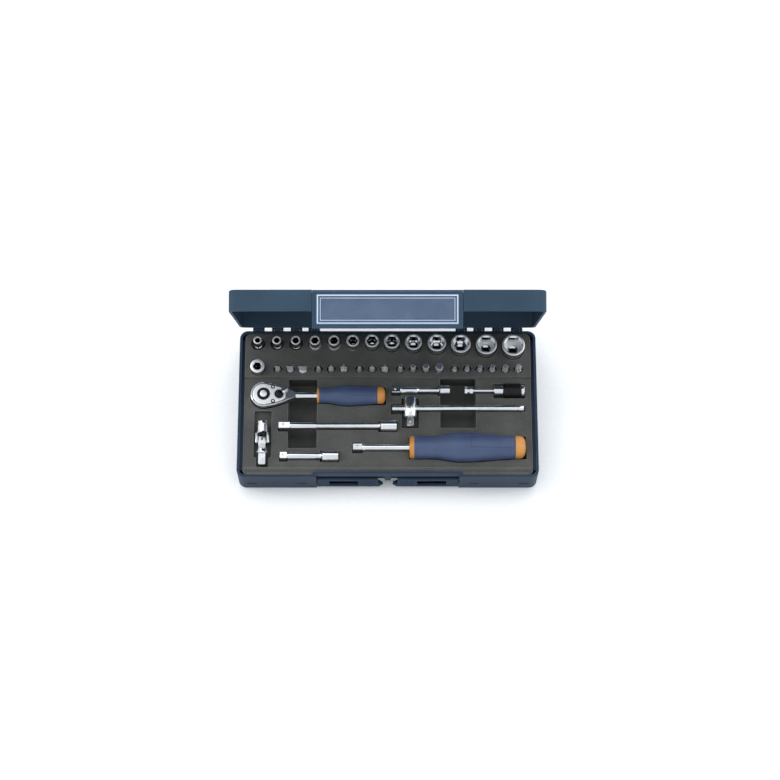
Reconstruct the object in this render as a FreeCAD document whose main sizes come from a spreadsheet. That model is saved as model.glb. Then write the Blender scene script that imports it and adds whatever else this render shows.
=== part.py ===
"""Socket wrench set in a hinged case, as a parametric FreeCAD document.

Millimetres, +Z up, +X to the right, front towards -Y. The origin is the centre of the base's bottom face.
The lid stands open at the angle lid_open, and every tool lies in its pocket.
"""
import FreeCAD
import Part
import math
import Sketcher
import os

Vector = FreeCAD.Vector
Rotation = FreeCAD.Rotation
Placement = FreeCAD.Placement

SIZES = {
    # case
    "case_width": 258.6, "case_depth": 134.0, "base_height": 32.0, "lid_height": 18.0,
    "shell_wall": 2.4, "shell_floor": 2.5, "plan_corner": 7.0, "edge_round": 1.6, "parting_gap": 0.2,
    "lid_open": 74.0, "hinge_back": 2.0, "hinge_drop": 0.8, "pin_radius": 0.9, "running": 0.05,
    "knuckle_radius": 1.85, "knuckle_width": 5.4, "ear_width": 2.2,
    # front recess, closing flap and latch plates
    "recess_half": 61.5, "recess_deep": 2.8, "recess_foot": 9.0, "ledge_under": 24.0, "cheek": 2.2,
    "flap_half": 61.1, "flap_thick": 2.4, "flap_bottom": 18.2, "flap_border": 3.6, "flap_pin": 0.8,
    "pane_step": 1.6, "pane_back": 1.6, "flap_barrel": 1.35, "flap_axis_y": 1.4, "flap_axis_drop": 1.9,
    "latch_outer": 61.1, "latch_inner": 4.2, "latch_bottom": 4.0, "latch_thick": 2.2, "latch_axis_z": 16.0,
    "latch_axis_y": 3.6, "latch_barrel": 1.6, "latch_pin": 0.7, "rib_radius": 0.7, "latch_lean": 1.9,
    "window_outer": 50.5, "window_inner": 25.4, "window_low": 2.4, "pad_inner": 8.4, "lug_half": 2.6,
    "vent_half": 4.3, "vent_low": 12.6, "vent_high": 14.4, "vent_deep": 1.4,
    # inserts
    "insert_gap": 0.3, "side_ledge": 2.2, "ledge_top": 28.5, "rack_top": 31.0, "rack_front": 24.0,
    "tray_top": 29.5, "rail_top": 30.8, "ridge_y": -60.0, "ridge_width": 2.2, "lip_width": 1.4,
    "pocket_gap": 0.7, "well_floor": 11.0, "under_hole": 4.8, "bit_hole": 4.0,
    # sockets, adapter and bits
    "socket_length": 25.0, "socket_top": 40.0, "drive_af": 6.35, "drive_play": 0.1, "drive_depth": 8.5,
    "small_body": 12.0, "chamfer": 0.5, "link_most": 4.4, "adapter_od": 12.4,
    "bit_length": 25.0, "shank_length": 15.0, "neck_length": 2.5, "bit_top": 38.0, "bit_row": 31.6,
    # tools that lie in the tray
    "tool_axis": 31.0, "head_radius": 11.3, "head_bottom": 25.6, "head_top": 34.8, "cover_top": 35.8,
    "spindle_radius": 5.0, "button_radius": 2.5, "cover_inset": 2.0, "screw_radius": 1.55,
    "lever_thick": 1.6, "lever_hub": 3.9, "lever_turn": 42.0, "sliding_bar": 2.6,
    "joint_pin": 1.2, "joint_half": 3.2,
}
SOCKETS = [  # name, across flats, outside diameter, x, y
    ("4", 4.0, 7.2, -113.4, 55.5), ("4_5", 4.5, 7.8, -96.7, 55.5), ("5", 5.0, 8.4, -80.2, 55.4),
    ("5_5", 5.5, 9.0, -63.5, 55.4), ("6", 6.0, 9.7, -46.9, 55.3), ("7", 7.0, 11.2, -30.4, 55.1),
    ("8", 8.0, 12.2, -13.7, 54.9), ("9", 9.0, 13.6, 3.6, 54.4), ("10", 10.0, 14.7, 22.4, 53.8),
    ("11", 11.0, 16.1, 42.8, 53.2), ("12", 12.0, 17.2, 63.6, 52.4), ("13", 13.0, 18.4, 85.8, 51.6),
    ("14", 14.0, 19.8, 109.4, 50.8),
]
BIT_GROUPS = {  # kind of tip: x of each bit, and the tip's width
    "slotted": [(-95.8, 4.0), (-84.9, 5.5), (-73.9, 7.0)],
    "cross": [(-60.2, 3.0), (-49.2, 4.5), (-38.3, 6.0)],
    "ribbed_cross": [(-24.6, 3.0), (-13.6, 4.5), (-2.6, 6.0)],
    "hex": [(11.0, 3.0), (22.0, 4.0), (33.2, 5.0), (44.8, 6.0)],
    "six_lobe": [(58.1, 2.8), (69.1, 3.3), (80.1, 3.9), (91.0, 4.4), (102.3, 5.0), (113.7, 5.5)],
}
ADAPTER = (-113.2, 32.2)
RATCHET = (-107.4, 7.2)
DRIVER_Y = -40.1
TEE_Y = -4.6
TEE_X = 19.4
JOINT_X = -107.8
JOINT_Y = -34.5
HINGES = [64.5, 80.0, 96.5, 113.0]
VENTS = [74.3, 117.0]
HEAD_NECK = [(2.5, 11.0), (10.0, 9.4), (17.5, 6.8), (23.0, 4.4), (28.0, 3.0)]  # right of centre, half width
COVER_EDGE = [(1.0, 8.8), (9.0, 7.6), (16.0, 5.4), (19.0, 3.0)]
# turned outlines: place along the axis, radius
RATCHET_SHAFT = [(0, 3.4), (6, 3.0), (18, 2.9), (26, 3.4), (36, 3.4)]
RATCHET_GRIP = [(0, 6.7), (8, 6.8), (14, 7.9), (19, 8.9), (25, 9.2), (32, 8.9), (42, 8.1), (50.3, 7.4)]
RATCHET_CAP = [(0, 7.4), (3.4, 7.4), (5.2, 6.6), (6.4, 5.0), (6.9, 3.0)]
RATCHET_COLLAR = [(0, 6.2), (0.4, 6.6), (1.8, 6.6)]
DRIVER_GRIP = [(0, 10.2), (12, 9.9), (20, 10.1), (27, 11.4), (34, 12.6), (42, 12.9), (56, 12.3), (72, 10.9),
               (86.7, 9.8)]
DRIVER_CAP = [(0, 9.9), (4.0, 9.9), (6.6, 8.9), (8.4, 6.6), (9.1, 3.8)]
DRIVER_COLLAR = [(0, 8.8), (0.8, 9.6), (3.4, 9.9), (4.0, 9.8)]
HOLDER = [(0, 3.3), (0.4, 3.7), (7.4, 3.7), (7.6, 1.6), (25.9, 1.6), (26.0, 4.15), (33.2, 4.15),
          (33.3, 4.6), (49.3, 4.6), (49.4, 5.2), (51.6, 5.2), (52.0, 4.8)]
EXTENSIONS = {  # y, then x of the square end, thick part, slim shaft, socket end and far end, then radii
    "long_extension": (-20.4, -94.3, -84.3, -61.2, -5.7, 7.7, (3.2, 2.5, 4.9)),
    "short_extension": (-47.7, -92.8, -86.5, -61.3, -55.8, -42.3, (3.2, 2.8, 4.9)),
    "bit_extension": (12.2, 3.4, 10.8, 26.8, 45.6, 53.8, (3.2, 2.3, 4.4)),
}
COLLAR_START = 46.3  # right of the ratchet's centre
DRIVER_START = 18.7
HOLDER_AT = (66.4, 11.8)
LEFT_WELL = (-86.2, -61.2, -40.3, 22.7)
RIGHT_WELL = (45.3, 76.3, -22.0, 23.2)
ALONG_X = Rotation(Vector(0, 1, 0), 90)
ALONG_Y = Rotation(Vector(1, 0, 0), -90)
AGAINST_Y = Rotation(Vector(1, 0, 0), 90)

doc = FreeCAD.newDocument("SocketSet")
sheet = doc.addObject("Spreadsheet::Sheet", "Dim")
for row, (alias, value) in enumerate(SIZES.items(), start=1):
    sheet.set(f"A{row}", alias)
    sheet.set(f"B{row}", str(value))
    sheet.setAlias(f"B{row}", alias)
doc.recompute()


class Cells:
    """Reads a cell of the sheet as a number."""

    def __getattr__(self, alias):
        return float(sheet.get(alias))


dim = Cells()
parts = []


def number(expression):
    """The value of an expression over the sheet's cells."""
    return float(sheet.evalExpression(str(expression)))


def bind(thing, **sizes):
    """Bind an object's properties to expressions over the sheet."""
    for name, expression in sizes.items():
        thing.setExpression(name, str(expression))
    return thing


def put(thing, x=0, y=0, z=0, turn=None):
    """Place an object, with each coordinate bound to its expression."""
    thing.Placement = Placement(Vector(number(x), number(y), number(z)), turn or Rotation())
    for axis, expression in zip("xyz", (x, y, z)):
        if isinstance(expression, str):
            thing.setExpression(f".Placement.Base.{axis}", expression)
    return thing


def box(x_size, y_size, z_size, x=0, y=0, z=0):
    made = doc.addObject("Part::Box", "Block")
    bind(made, Length=x_size, Width=y_size, Height=z_size)
    return put(made, x, y, z)


def slab(x_low, x_high, y_low, y_high, z_low, z_high):
    """A box between two corners."""
    return box(f"({x_high})-({x_low})", f"({y_high})-({y_low})", f"({z_high})-({z_low})",
               x_low, y_low, z_low)


def rod(radius, length, x=0, y=0, z=0, turn=None):
    made = doc.addObject("Part::Cylinder", "Rod")
    bind(made, Radius=radius, Height=length)
    return put(made, x, y, z, turn)


def taper(radius_low, radius_high, length, x=0, y=0, z=0, turn=None):
    made = doc.addObject("Part::Cone", "Taper")
    bind(made, Radius1=radius_low, Radius2=radius_high, Height=length)
    return put(made, x, y, z, turn)


def prism(across_flats, length, x=0, y=0, z=0, turn=None, sides=6):
    made = doc.addObject("Part::Prism", "Prism")
    made.Polygon = sides
    bind(made, Circumradius=f"({across_flats})/2/cos({180 / sides})", Height=length)
    return put(made, x, y, z, turn)


def square_bar(across, length, x, y, z, turn):
    """A square bar whose flats face sideways and up, along its own z."""
    return prism(across, length, x, y, z, turn * Rotation(Vector(0, 0, 1), 45), sides=4)


def fuse(*things):
    if len(things) == 1:
        return things[0]
    made = doc.addObject("Part::MultiFuse", "Joined")
    made.Shapes = list(things)
    return made


def cut(base, *tools):
    made = doc.addObject("Part::Cut", "Cut")
    made.Base = base
    made.Tool = fuse(*tools)
    return made


def compound(things):
    made = doc.addObject("Part::Compound", "Group")
    made.Links = list(things)
    return made


def plate(points, thickness, origin=(0, 0, 0), turn=None):
    """A flat outline pushed straight up by a thickness, as a sketch and a pad in a body of its own."""
    body = doc.addObject("PartDesign::Body", "Plate")
    sketch = outline(body, "XY_Plane", points)
    pad = body.newObject("PartDesign::Pad", "Pad")
    pad.Profile = sketch
    pad.setExpression("Length", str(thickness))
    sketch.Visibility = False
    return put(body, *origin, turn=turn)


def outline(body, role, points):
    """A closed polygon in a sketch, each corner held by two bound distances."""
    sketch = body.newObject("Sketcher::SketchObject", "Outline")
    plane = next(f for f in body.Origin.OriginFeatures if f.Role == role)
    sketch.AttachmentSupport = [(plane, "")]
    sketch.MapMode = "FlatFace"
    places = [Vector(number(a), number(b), 0) for a, b in points]
    count = len(places)
    for here in range(count):
        sketch.addGeometry(Part.LineSegment(places[here], places[(here + 1) % count]), False)
    for here in range(count):
        sketch.addConstraint(Sketcher.Constraint("Coincident", here, 2, (here + 1) % count, 1))
    for here, (a, b) in enumerate(points):
        for kind, expression, on_axis in (("DistanceX", a, -2), ("DistanceY", b, -1)):
            value = number(expression)
            if abs(value) < 1e-9:
                sketch.addConstraint(Sketcher.Constraint("PointOnObject", here, 1, on_axis))
                continue
            index = sketch.addConstraint(Sketcher.Constraint(kind, -1, 1, here, 1, value))
            if isinstance(expression, str):
                sketch.setExpression(f"Constraints[{index}]", expression)
    return sketch


def turned(steps, x=0, y=0, z=0, turn=None):
    """A turned solid: steps are (place along the axis, radius), and the axis is the solid's own z."""
    body = doc.addObject("PartDesign::Body", "Turned")
    ends = [(0, steps[0][0])] + [(radius, along) for along, radius in steps] + [(0, steps[-1][0])]
    sketch = outline(body, "XZ_Plane", ends)
    around = body.newObject("PartDesign::Revolution", "Revolution")
    around.Profile = sketch
    around.ReferenceAxis = (sketch, ["V_Axis"])
    around.Angle = 360
    sketch.Visibility = False
    return put(body, x, y, z, turn)


def rounded(base, radius, choose):
    """Round the edges of a solid that choose picks."""
    doc.recompute()
    made = doc.addObject("Part::Fillet", "Rounded")
    made.Base = base
    made.Edges = [(index, radius, radius) for index, edge in enumerate(base.Shape.Edges, 1) if choose(edge)]
    return made


def upright(edge):
    ends = [v.Point for v in edge.Vertexes]
    return len(ends) == 2 and abs(ends[0].x - ends[1].x) + abs(ends[0].y - ends[1].y) < 1e-6


def at_height(height):
    def choose(edge):
        return all(abs(v.Point.z - height) < 1e-6 for v in edge.Vertexes)
    return choose


def rounded_block(x_low, x_high, y_low, y_high, z_low, z_high, radius):
    return rounded(slab(x_low, x_high, y_low, y_high, z_low, z_high), radius, upright)


def finish(label, thing, place=None):
    """Name a finished sub-part, and give the ones on the lid the lid's open place."""
    thing.Label = label
    if place is not None:
        thing.Placement = place
    parts.append(thing)
    return thing


def case_block(inset, z_low, z_high):
    """The case's plan, drawn in by inset, between two heights."""
    half_x = f"Dim.case_width/2-({inset})"
    half_y = f"Dim.case_depth/2-({inset})"
    radius = dim.plan_corner - number(inset)
    return rounded_block(f"-({half_x})", half_x, f"-({half_y})", half_y, z_low, z_high, radius)


def recess_profile(inner):
    """The front recess's wall, seen along X: outside for inner 0, inside for inner shell_wall."""
    front = f"-Dim.case_depth/2+Dim.recess_deep+{inner}"
    foot = f"-Dim.case_depth/2+Dim.recess_foot+{inner}"
    under = f"Dim.ledge_under+{inner}"
    return front, foot, under


def front_slope(inner, x_half, z_low, z_high, far):
    """A block of the case's front behind the recess's stepped wall, as deep as far."""
    front, foot, under = recess_profile(inner)
    knee = f"-Dim.case_depth/2+Dim.recess_foot-2.6+{inner}"
    points = [(foot, z_low), (knee, under), (front, under), (front, z_high), (far, z_high), (far, z_low)]
    # the outline is drawn in Y and Z, and pushed along X
    turn = Rotation(Vector(1, 1, 1), 120)
    return plate(points, f"2*({x_half})", (f"-({x_half})", 0, 0), turn)


def base_shell():
    outer = rounded(case_block(0, 0, "Dim.base_height"), dim.edge_round, at_height(0))
    recess = slab("-Dim.recess_half", "Dim.recess_half", "-Dim.case_depth/2-1", "-Dim.case_depth/2+12",
                  -1, "Dim.base_height+1")
    shell = cut(outer, recess)
    middle = front_slope(0, "Dim.recess_half", 0, "Dim.base_height", "-Dim.case_depth/2+14")
    shell = fuse(shell, middle)
    room = case_block("Dim.shell_wall", "Dim.shell_floor", "Dim.base_height+1")
    corner = slab("-Dim.recess_half-Dim.cheek", "Dim.recess_half+Dim.cheek", "-Dim.case_depth/2",
                  "-Dim.case_depth/2+13", 0, "Dim.base_height+2")
    room = cut(room, corner)
    behind = front_slope("Dim.cheek", "Dim.recess_half+Dim.cheek", "Dim.shell_floor",
                         "Dim.base_height+1", "-Dim.case_depth/2+13.5")
    shell = cut(shell, room, behind)
    # a ledge inside each side wall, beside the inserts
    ledge_in = "Dim.case_width/2-Dim.shell_wall-Dim.side_ledge"
    ledge_out = "Dim.case_width/2-1"
    ledge_end = "Dim.case_depth/2-Dim.plan_corner"
    ledges = [slab(low, high, f"-({ledge_end})", ledge_end, "Dim.shell_floor-0.5", "Dim.ledge_top")
              for low, high in ((ledge_in, ledge_out), (f"-({ledge_out})", f"-({ledge_in})"))]
    shell = fuse(shell, *ledges)
    vents = []
    for centre in VENTS:
        for side in (-1, 1):
            vents.append(slab(f"{side * centre}-Dim.vent_half", f"{side * centre}+Dim.vent_half",
                              "-Dim.case_depth/2-1", "-Dim.case_depth/2+Dim.vent_deep",
                              "Dim.vent_low", "Dim.vent_high"))
    shell = cut(shell, *vents)
    pin_holes = [rod("Dim.latch_pin", 2.0, x, "-Dim.case_depth/2+Dim.latch_axis_y", "Dim.latch_axis_z",
                     ALONG_X) for x in ("Dim.recess_half-0.2", "-Dim.recess_half-1.8")]
    shell = cut(shell, *pin_holes)
    # the middle lug carries the inner ends of both latch pins, and its upper part keeps clear of the flap
    pin_y = "-Dim.case_depth/2+Dim.latch_axis_y"
    lug_back = f"{pin_y}+1.6"
    lug = fuse(slab("-Dim.lug_half", "Dim.lug_half", f"{pin_y}-1.4", lug_back,
                    "Dim.latch_axis_z-1.6", "Dim.flap_bottom-0.4"),
               slab("-Dim.lug_half", "Dim.lug_half", f"{pin_y}-0.8", lug_back,
                    "Dim.latch_axis_z-1.6", "Dim.ledge_under+1"))
    lug_hole = rod("Dim.latch_pin", "2*Dim.lug_half+2", "-Dim.lug_half-1", pin_y, "Dim.latch_axis_z", ALONG_X)
    shell = fuse(shell, cut(lug, lug_hole))
    ears = []
    for x in HINGES:
        for side in (-1, 1):
            for end in (-1, 1):
                low = side * x + end * (dim.knuckle_width + dim.ear_width + 0.3) / 2 - dim.ear_width / 2
                ears.append(hinge_ear(low, "Dim.ear_width", -1))
    holes = [rod("Dim.pin_radius", 14, side * x - 7, "Dim.case_depth/2+Dim.hinge_back",
                 "Dim.base_height-Dim.hinge_drop", ALONG_X) for x in HINGES for side in (-1, 1)]
    return finish("base_shell", cut(fuse(shell, *ears), *holes))


def hinge_ear(x_low, width, side):
    """A knuckle on the hinge axis, joined to the base's back wall for side -1 or the lid's for side 1."""
    axis_y = "Dim.case_depth/2+Dim.hinge_back"
    axis_z = "Dim.base_height-Dim.hinge_drop"
    eye = rod("Dim.knuckle_radius", width, x_low, axis_y, axis_z, ALONG_X)
    if side < 0:
        web = slab(x_low, x_low + number(width), "Dim.case_depth/2-0.5", axis_y,
                   f"{axis_z}-Dim.knuckle_radius", axis_z)
        return fuse(eye, web)
    arm = slab(x_low, x_low + number(width), "Dim.case_depth/2+0.4", f"{axis_y}+Dim.knuckle_radius-0.3",
               axis_z, "Dim.base_height+8")
    foot = slab(x_low, x_low + number(width), "Dim.case_depth/2-0.5", "Dim.case_depth/2+1",
                "Dim.base_height+1", "Dim.base_height+8")
    return fuse(eye, arm, foot)


def hinge_pins():
    length = dim.knuckle_width + 2 * dim.ear_width + 0.3
    pins = [rod("Dim.pin_radius", length, side * x - length / 2, "Dim.case_depth/2+Dim.hinge_back",
                "Dim.base_height-Dim.hinge_drop", ALONG_X) for x in HINGES for side in (-1, 1)]
    return finish("hinge_pins", compound(pins))


def lid_place():
    centre = Vector(0, dim.case_depth / 2 + dim.hinge_back, dim.base_height - dim.hinge_drop)
    return Placement(Vector(), Rotation(Vector(1, 0, 0), -dim.lid_open), centre)


def lid_shell():
    low = "Dim.base_height+Dim.parting_gap"
    high = "Dim.base_height+Dim.lid_height"
    outer = rounded(case_block(0, low, high), dim.edge_round, at_height(dim.base_height + dim.lid_height))
    front = "-Dim.case_depth/2"
    recess = slab("-Dim.recess_half", "Dim.recess_half", f"{front}-1", f"{front}+Dim.recess_deep",
                  0, f"{high}+1")
    room = case_block("Dim.shell_wall", 0, f"{high}-Dim.shell_wall")
    corner = slab("-Dim.recess_half-Dim.cheek", "Dim.recess_half+Dim.cheek", f"{front}-1",
                  f"{front}+Dim.recess_deep+Dim.cheek", 0, f"{high}+1")
    shell = cut(outer, recess, cut(room, corner))
    holes = [rod("Dim.flap_pin", 1.9, x, f"{front}+Dim.flap_axis_y", f"{high}-Dim.flap_axis_drop", ALONG_X)
             for x in ("Dim.recess_half-0.1", "-Dim.recess_half-1.8")]
    shell = cut(shell, *holes)
    knuckles = [hinge_ear(side * x - dim.knuckle_width / 2, "Dim.knuckle_width", 1)
                for x in HINGES for side in (-1, 1)]
    eyes = [rod("Dim.pin_radius+Dim.running", 14, side * x - 7, "Dim.case_depth/2+Dim.hinge_back",
                "Dim.base_height-Dim.hinge_drop", ALONG_X) for x in HINGES for side in (-1, 1)]
    return finish("lid_shell", cut(fuse(shell, *knuckles), *eyes), lid_place())


def closing_flap():
    """The flap's frame, its clear window and its two pins, hinged at the lid's top front edge."""
    front = "-Dim.case_depth/2"
    axis_y = f"{front}+Dim.flap_axis_y"
    axis_z = "Dim.base_height+Dim.lid_height-Dim.flap_axis_drop"
    back = f"{front}+Dim.flap_thick"
    frame = slab("-Dim.flap_half", "Dim.flap_half", front, back, "Dim.flap_bottom", axis_z)
    barrel = rod("Dim.flap_barrel", "2*Dim.flap_half", "-Dim.flap_half", axis_y, axis_z, ALONG_X)
    inner = "Dim.flap_half-Dim.flap_border"
    sill = "Dim.flap_bottom+Dim.flap_border"
    head = f"{axis_z}-2.2"
    seat = slab(f"-({inner})", inner, f"{front}-1", f"{front}+Dim.pane_back", sill, head)
    through = slab(f"-({inner}-Dim.pane_step)", f"{inner}-Dim.pane_step", f"{front}-1", f"{back}+1",
                   f"{sill}+Dim.pane_step", f"{head}-Dim.pane_step")
    bores = [rod("Dim.flap_pin+Dim.running", 4, x, axis_y, axis_z, ALONG_X)
             for x in ("-Dim.flap_half-0.1", "Dim.flap_half-3.9")]
    finish("flap_frame", cut(fuse(frame, barrel), seat, through, *bores), lid_place())
    window = slab(f"-({inner}-0.05)", f"{inner}-0.05", f"{front}+0.1", f"{front}+Dim.pane_back",
                  f"{sill}+0.05", f"{head}-0.05")
    finish("flap_window", window, None)
    window.Placement = lid_place().multiply(window.Placement)
    for axis in "xyz":
        window.setExpression(f".Placement.Base.{axis}", None)
    pins = [rod("Dim.flap_pin", 4.8, x, axis_y, axis_z, ALONG_X)
            for x in ("Dim.flap_half-3.2", "-Dim.flap_half-1.6")]
    finish("flap_pins", compound(pins), lid_place())


def latch_plate(side):
    """A sprung plate of the closure: outer block, open window, ribbed thumb pad and foot bar."""
    axis_y = "-Dim.case_depth/2+Dim.latch_axis_y"
    face = f"{axis_y}-Dim.latch_barrel"
    low = "Dim.latch_bottom"
    points = [(f"{face}-Dim.latch_lean", low), (f"{face}-Dim.latch_lean+Dim.latch_thick", low),
              (f"{face}+Dim.latch_thick", "Dim.latch_axis_z"), (face, "Dim.latch_axis_z")]
    wide = "Dim.latch_outer-Dim.latch_inner"
    body = plate(points, wide, ("Dim.latch_inner", 0, 0), Rotation(Vector(1, 1, 1), 120))
    barrel = rod("Dim.latch_barrel", "Dim.latch_outer-Dim.pad_inner", "Dim.pad_inner", axis_y,
                 "Dim.latch_axis_z", ALONG_X)
    # three ribs up the leaning face of the thumb pad
    ribs = [rod("Dim.rib_radius", "Dim.window_inner-Dim.pad_inner-3", "Dim.pad_inner+1.5",
                f"{face}-{1.25 - 0.45 * step}", f"Dim.latch_bottom+{3.2 + 3.0 * step}", ALONG_X)
            for step in range(3)]
    window = slab("Dim.window_inner", "Dim.window_outer", f"{face}-4", f"{face}+6",
                  "Dim.latch_bottom+Dim.window_low", "Dim.latch_axis_z-Dim.latch_barrel-0.4")
    # the foot bar alone reaches the middle, with a slanting end
    beyond = slab(0, "Dim.pad_inner", f"{face}-4", f"{face}+6", "Dim.latch_bottom+4.4", 30)
    slant = plate([(0, 0), (3.4, 0), (0, 4.6)], 12,
                  ("Dim.latch_inner-0.1", f"{face}+6", "Dim.latch_bottom-0.1"), AGAINST_Y)
    bore = rod("Dim.latch_pin+Dim.running", 80, 0, axis_y, "Dim.latch_axis_z", ALONG_X)
    made = cut(fuse(body, barrel, *ribs), window, beyond, slant, bore)
    if side > 0:
        return finish("latch_right", made)
    mirror = doc.addObject("Part::Mirroring", "Mirrored")
    mirror.Source = made
    mirror.Normal = Vector(1, 0, 0)
    return finish("latch_left", mirror)


def latch_pins():
    length = "Dim.recess_half+1.6-0.2"
    pins = [rod("Dim.latch_pin", length, x, "-Dim.case_depth/2+Dim.latch_axis_y", "Dim.latch_axis_z",
                ALONG_X) for x in ("0.1", "-Dim.recess_half-1.5")]
    return finish("latch_pins", compound(pins))


def socket_steps(across, outside, length):
    """Half the outline of a socket, drive end first. The small ones narrow towards the nut."""
    body = max(dim.small_body, outside - 2.6) / 2
    top = outside / 2
    step = length * (0.62 if outside < dim.small_body else 0.5)
    rise = abs(top - body)
    edge = dim.chamfer
    return [(0, body - edge), (edge, body), (step - rise, body), (step, top), (length - edge, top),
            (length, top - edge)]


def socket(name, across, outside, x, y, top, length):
    low = number(top) - length
    blank = turned(socket_steps(across, outside, length), x, y, low)
    hex_depth = 5 + 0.5 * across
    mouth = prism(across + 0.1, hex_depth + 1, x, y, low + length - hex_depth)
    lead = taper(across / 2, across / 2 + 1.3, 1.3, x, y, low + length - 0.9)
    drive = square_bar("Dim.drive_af+Dim.drive_play", "Dim.drive_depth+1", x, y, low - 1, Rotation())
    link = rod(min(across / 2 - 0.1, dim.link_most), length - dim.drive_depth, x, y,
               f"{low}+Dim.drive_depth-0.1")
    return finish(name, cut(blank, mouth, lead, drive, link))


def bit(kind, x, width):
    """A 1/4 inch hexagon bit, standing tip up."""
    y = "Dim.bit_row"
    low = dim.bit_top - dim.bit_length
    neck = low + dim.shank_length
    high = neck + dim.neck_length
    tip_length = dim.bit_top - high
    shank = prism("Dim.drive_af", "Dim.shank_length", x, y, low)
    collar = taper(3.1, max(width / 2, 1.6), "Dim.neck_length", x, y, neck)
    if kind == "slotted":
        blade = slab(x - width / 2, x + width / 2, f"{y}-0.5", f"{y}+0.5", high, high + tip_length)
        tip = fuse(rod(1.9, tip_length - 3, x, y, high), blade)
    elif kind in ("cross", "ribbed_cross"):
        wing = width / 2
        cone = turned([(0, wing), (tip_length - wing, wing), (tip_length, 0.5)], x, y, high)
        web = 0.45
        low_side, high_side = -(wing + 1 + web), web
        notches = [box(wing + 1, wing + 1, tip_length, x + across, f"{y}+{along}", high + 1.8)
                   for across in (low_side, high_side) for along in (low_side, high_side)]
        tip = cut(cone, *notches)
    elif kind == "hex":
        tip = prism(width - 0.2, tip_length, x, y, high)
    else:
        out = width * 0.34
        lobes = [rod(width * 0.16, tip_length, x + out * math.cos(math.radians(angle)),
                     f"{y}+{out * math.sin(math.radians(angle))}", high) for angle in range(0, 360, 60)]
        tip = fuse(rod(width * 0.38, tip_length, x, y, high), *lobes)
    return fuse(shank, collar, tip)


def bit_group(kind):
    return finish(f"{kind}_bits", compound([bit(kind, x, width) for x, width in BIT_GROUPS[kind]]))


def head_outline(gap):
    """The ratchet head's neck, from the round head to the shaft, widened by gap."""
    x, y = RATCHET
    upper = [(x + along, y + wide + gap) for along, wide in HEAD_NECK]
    lower = [(x + along, y - wide - gap) for along, wide in reversed(HEAD_NECK)]
    return [(x, y + 5)] + upper + lower + [(x, y - 5)]


def ratchet():
    x, y = RATCHET
    axis = "Dim.tool_axis"
    tall = "Dim.head_top-Dim.head_bottom"
    blank = fuse(rod("Dim.head_radius", tall, x, y, "Dim.head_bottom"),
                 plate(head_outline(0), tall, (0, 0, "Dim.head_bottom")),
                 turned(RATCHET_SHAFT, x + 25.5, y, axis, ALONG_X))
    finish("ratchet_body", cut(blank, rod("Dim.spindle_radius+Dim.running", 30, x, y, 10)))
    ratchet_cover(x, y)
    ratchet_drive(x, y)
    ratchet_lever(x + 13.4, y - 0.4)
    start = x + COLLAR_START
    grip_start = start + RATCHET_COLLAR[-1][0]
    finish("ratchet_collar", tube(RATCHET_COLLAR, 3.4, start, y, axis))
    finish("ratchet_grip", cut(turned(RATCHET_GRIP, grip_start, y, axis, ALONG_X),
                               rod(3.4, 15.5, grip_start - 1, y, axis, ALONG_X)))
    finish("ratchet_cap", turned(RATCHET_CAP, grip_start + RATCHET_GRIP[-1][0], y, axis, ALONG_X))


def ratchet_cover(x, y):
    """The cover plate with its two sunk screws."""
    upper = [(x + along, y + wide) for along, wide in COVER_EDGE]
    lower = [(x + along, y - wide) for along, wide in reversed(COVER_EDGE)]
    thick = "Dim.cover_top-Dim.head_top"
    cover = fuse(rod("Dim.head_radius-Dim.cover_inset", thick, x, y, "Dim.head_top"),
                 plate(upper + lower, thick, (0, 0, "Dim.head_top")))
    screw_at = [(x + 8.0, y + 6.4), (x + 8.2, y - 6.6)]
    seats = [rod("Dim.screw_radius+Dim.running", 4, a, b, "Dim.cover_top-0.7") for a, b in screw_at]
    finish("ratchet_cover", cut(cover, rod("Dim.spindle_radius+Dim.running", 30, x, y, 10), *seats))
    screws = [cut(rod("Dim.screw_radius", 0.6, a, b, "Dim.cover_top-0.7"),
                  rod(0.7, 1, a, b, "Dim.cover_top-0.4")) for a, b in screw_at]
    finish("ratchet_screws", compound(screws))


def ratchet_drive(x, y):
    """The spindle with its drive square, and the release button down its middle."""
    flange = rod("Dim.spindle_radius+2", 0.9, x, y, "Dim.head_bottom-1.1")
    spindle = fuse(rod("Dim.spindle_radius", "Dim.cover_top-Dim.head_bottom+0.4", x, y,
                       "Dim.head_bottom-0.3"), flange,
                   square_bar("Dim.drive_af-0.1", 7.5, x, y, "Dim.head_bottom-8.5", Rotation()))
    finish("ratchet_drive", cut(spindle, rod("Dim.button_radius+Dim.running", 9, x, y, "Dim.cover_top-4")))
    finish("ratchet_button", turned([(0, 2.5), (3.1, 2.5), (3.7, 1.9)], x, y, "Dim.cover_top-2.2"))


def ratchet_lever(x, y):
    """The reversing lever: a round hub and a thumb tab turned away from the handle's line."""
    tab_long, tab_wide = 9.0, 4.2
    tab = box(tab_long, tab_wide, "Dim.lever_thick")
    turn = Rotation(Vector(0, 0, 1), dim.lever_turn)
    corner = turn.multVec(Vector(0, -tab_wide / 2, 0))
    bottom = "Dim.cover_top+0.2"
    put(tab, x + corner.x, y + corner.y, bottom, turn)
    finish("ratchet_lever", fuse(rod("Dim.lever_hub", "Dim.lever_thick", x, y, bottom), tab,
                                 rod(2.2, "Dim.lever_thick+0.6", x, y, bottom)))


def tube(steps, bore, x, y, z):
    """A turned piece along X with a hole right through."""
    last = steps[-1][0]
    return cut(turned(steps, x, y, z, ALONG_X), rod(bore, last + 2, x - 1, y, z, ALONG_X))


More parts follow.
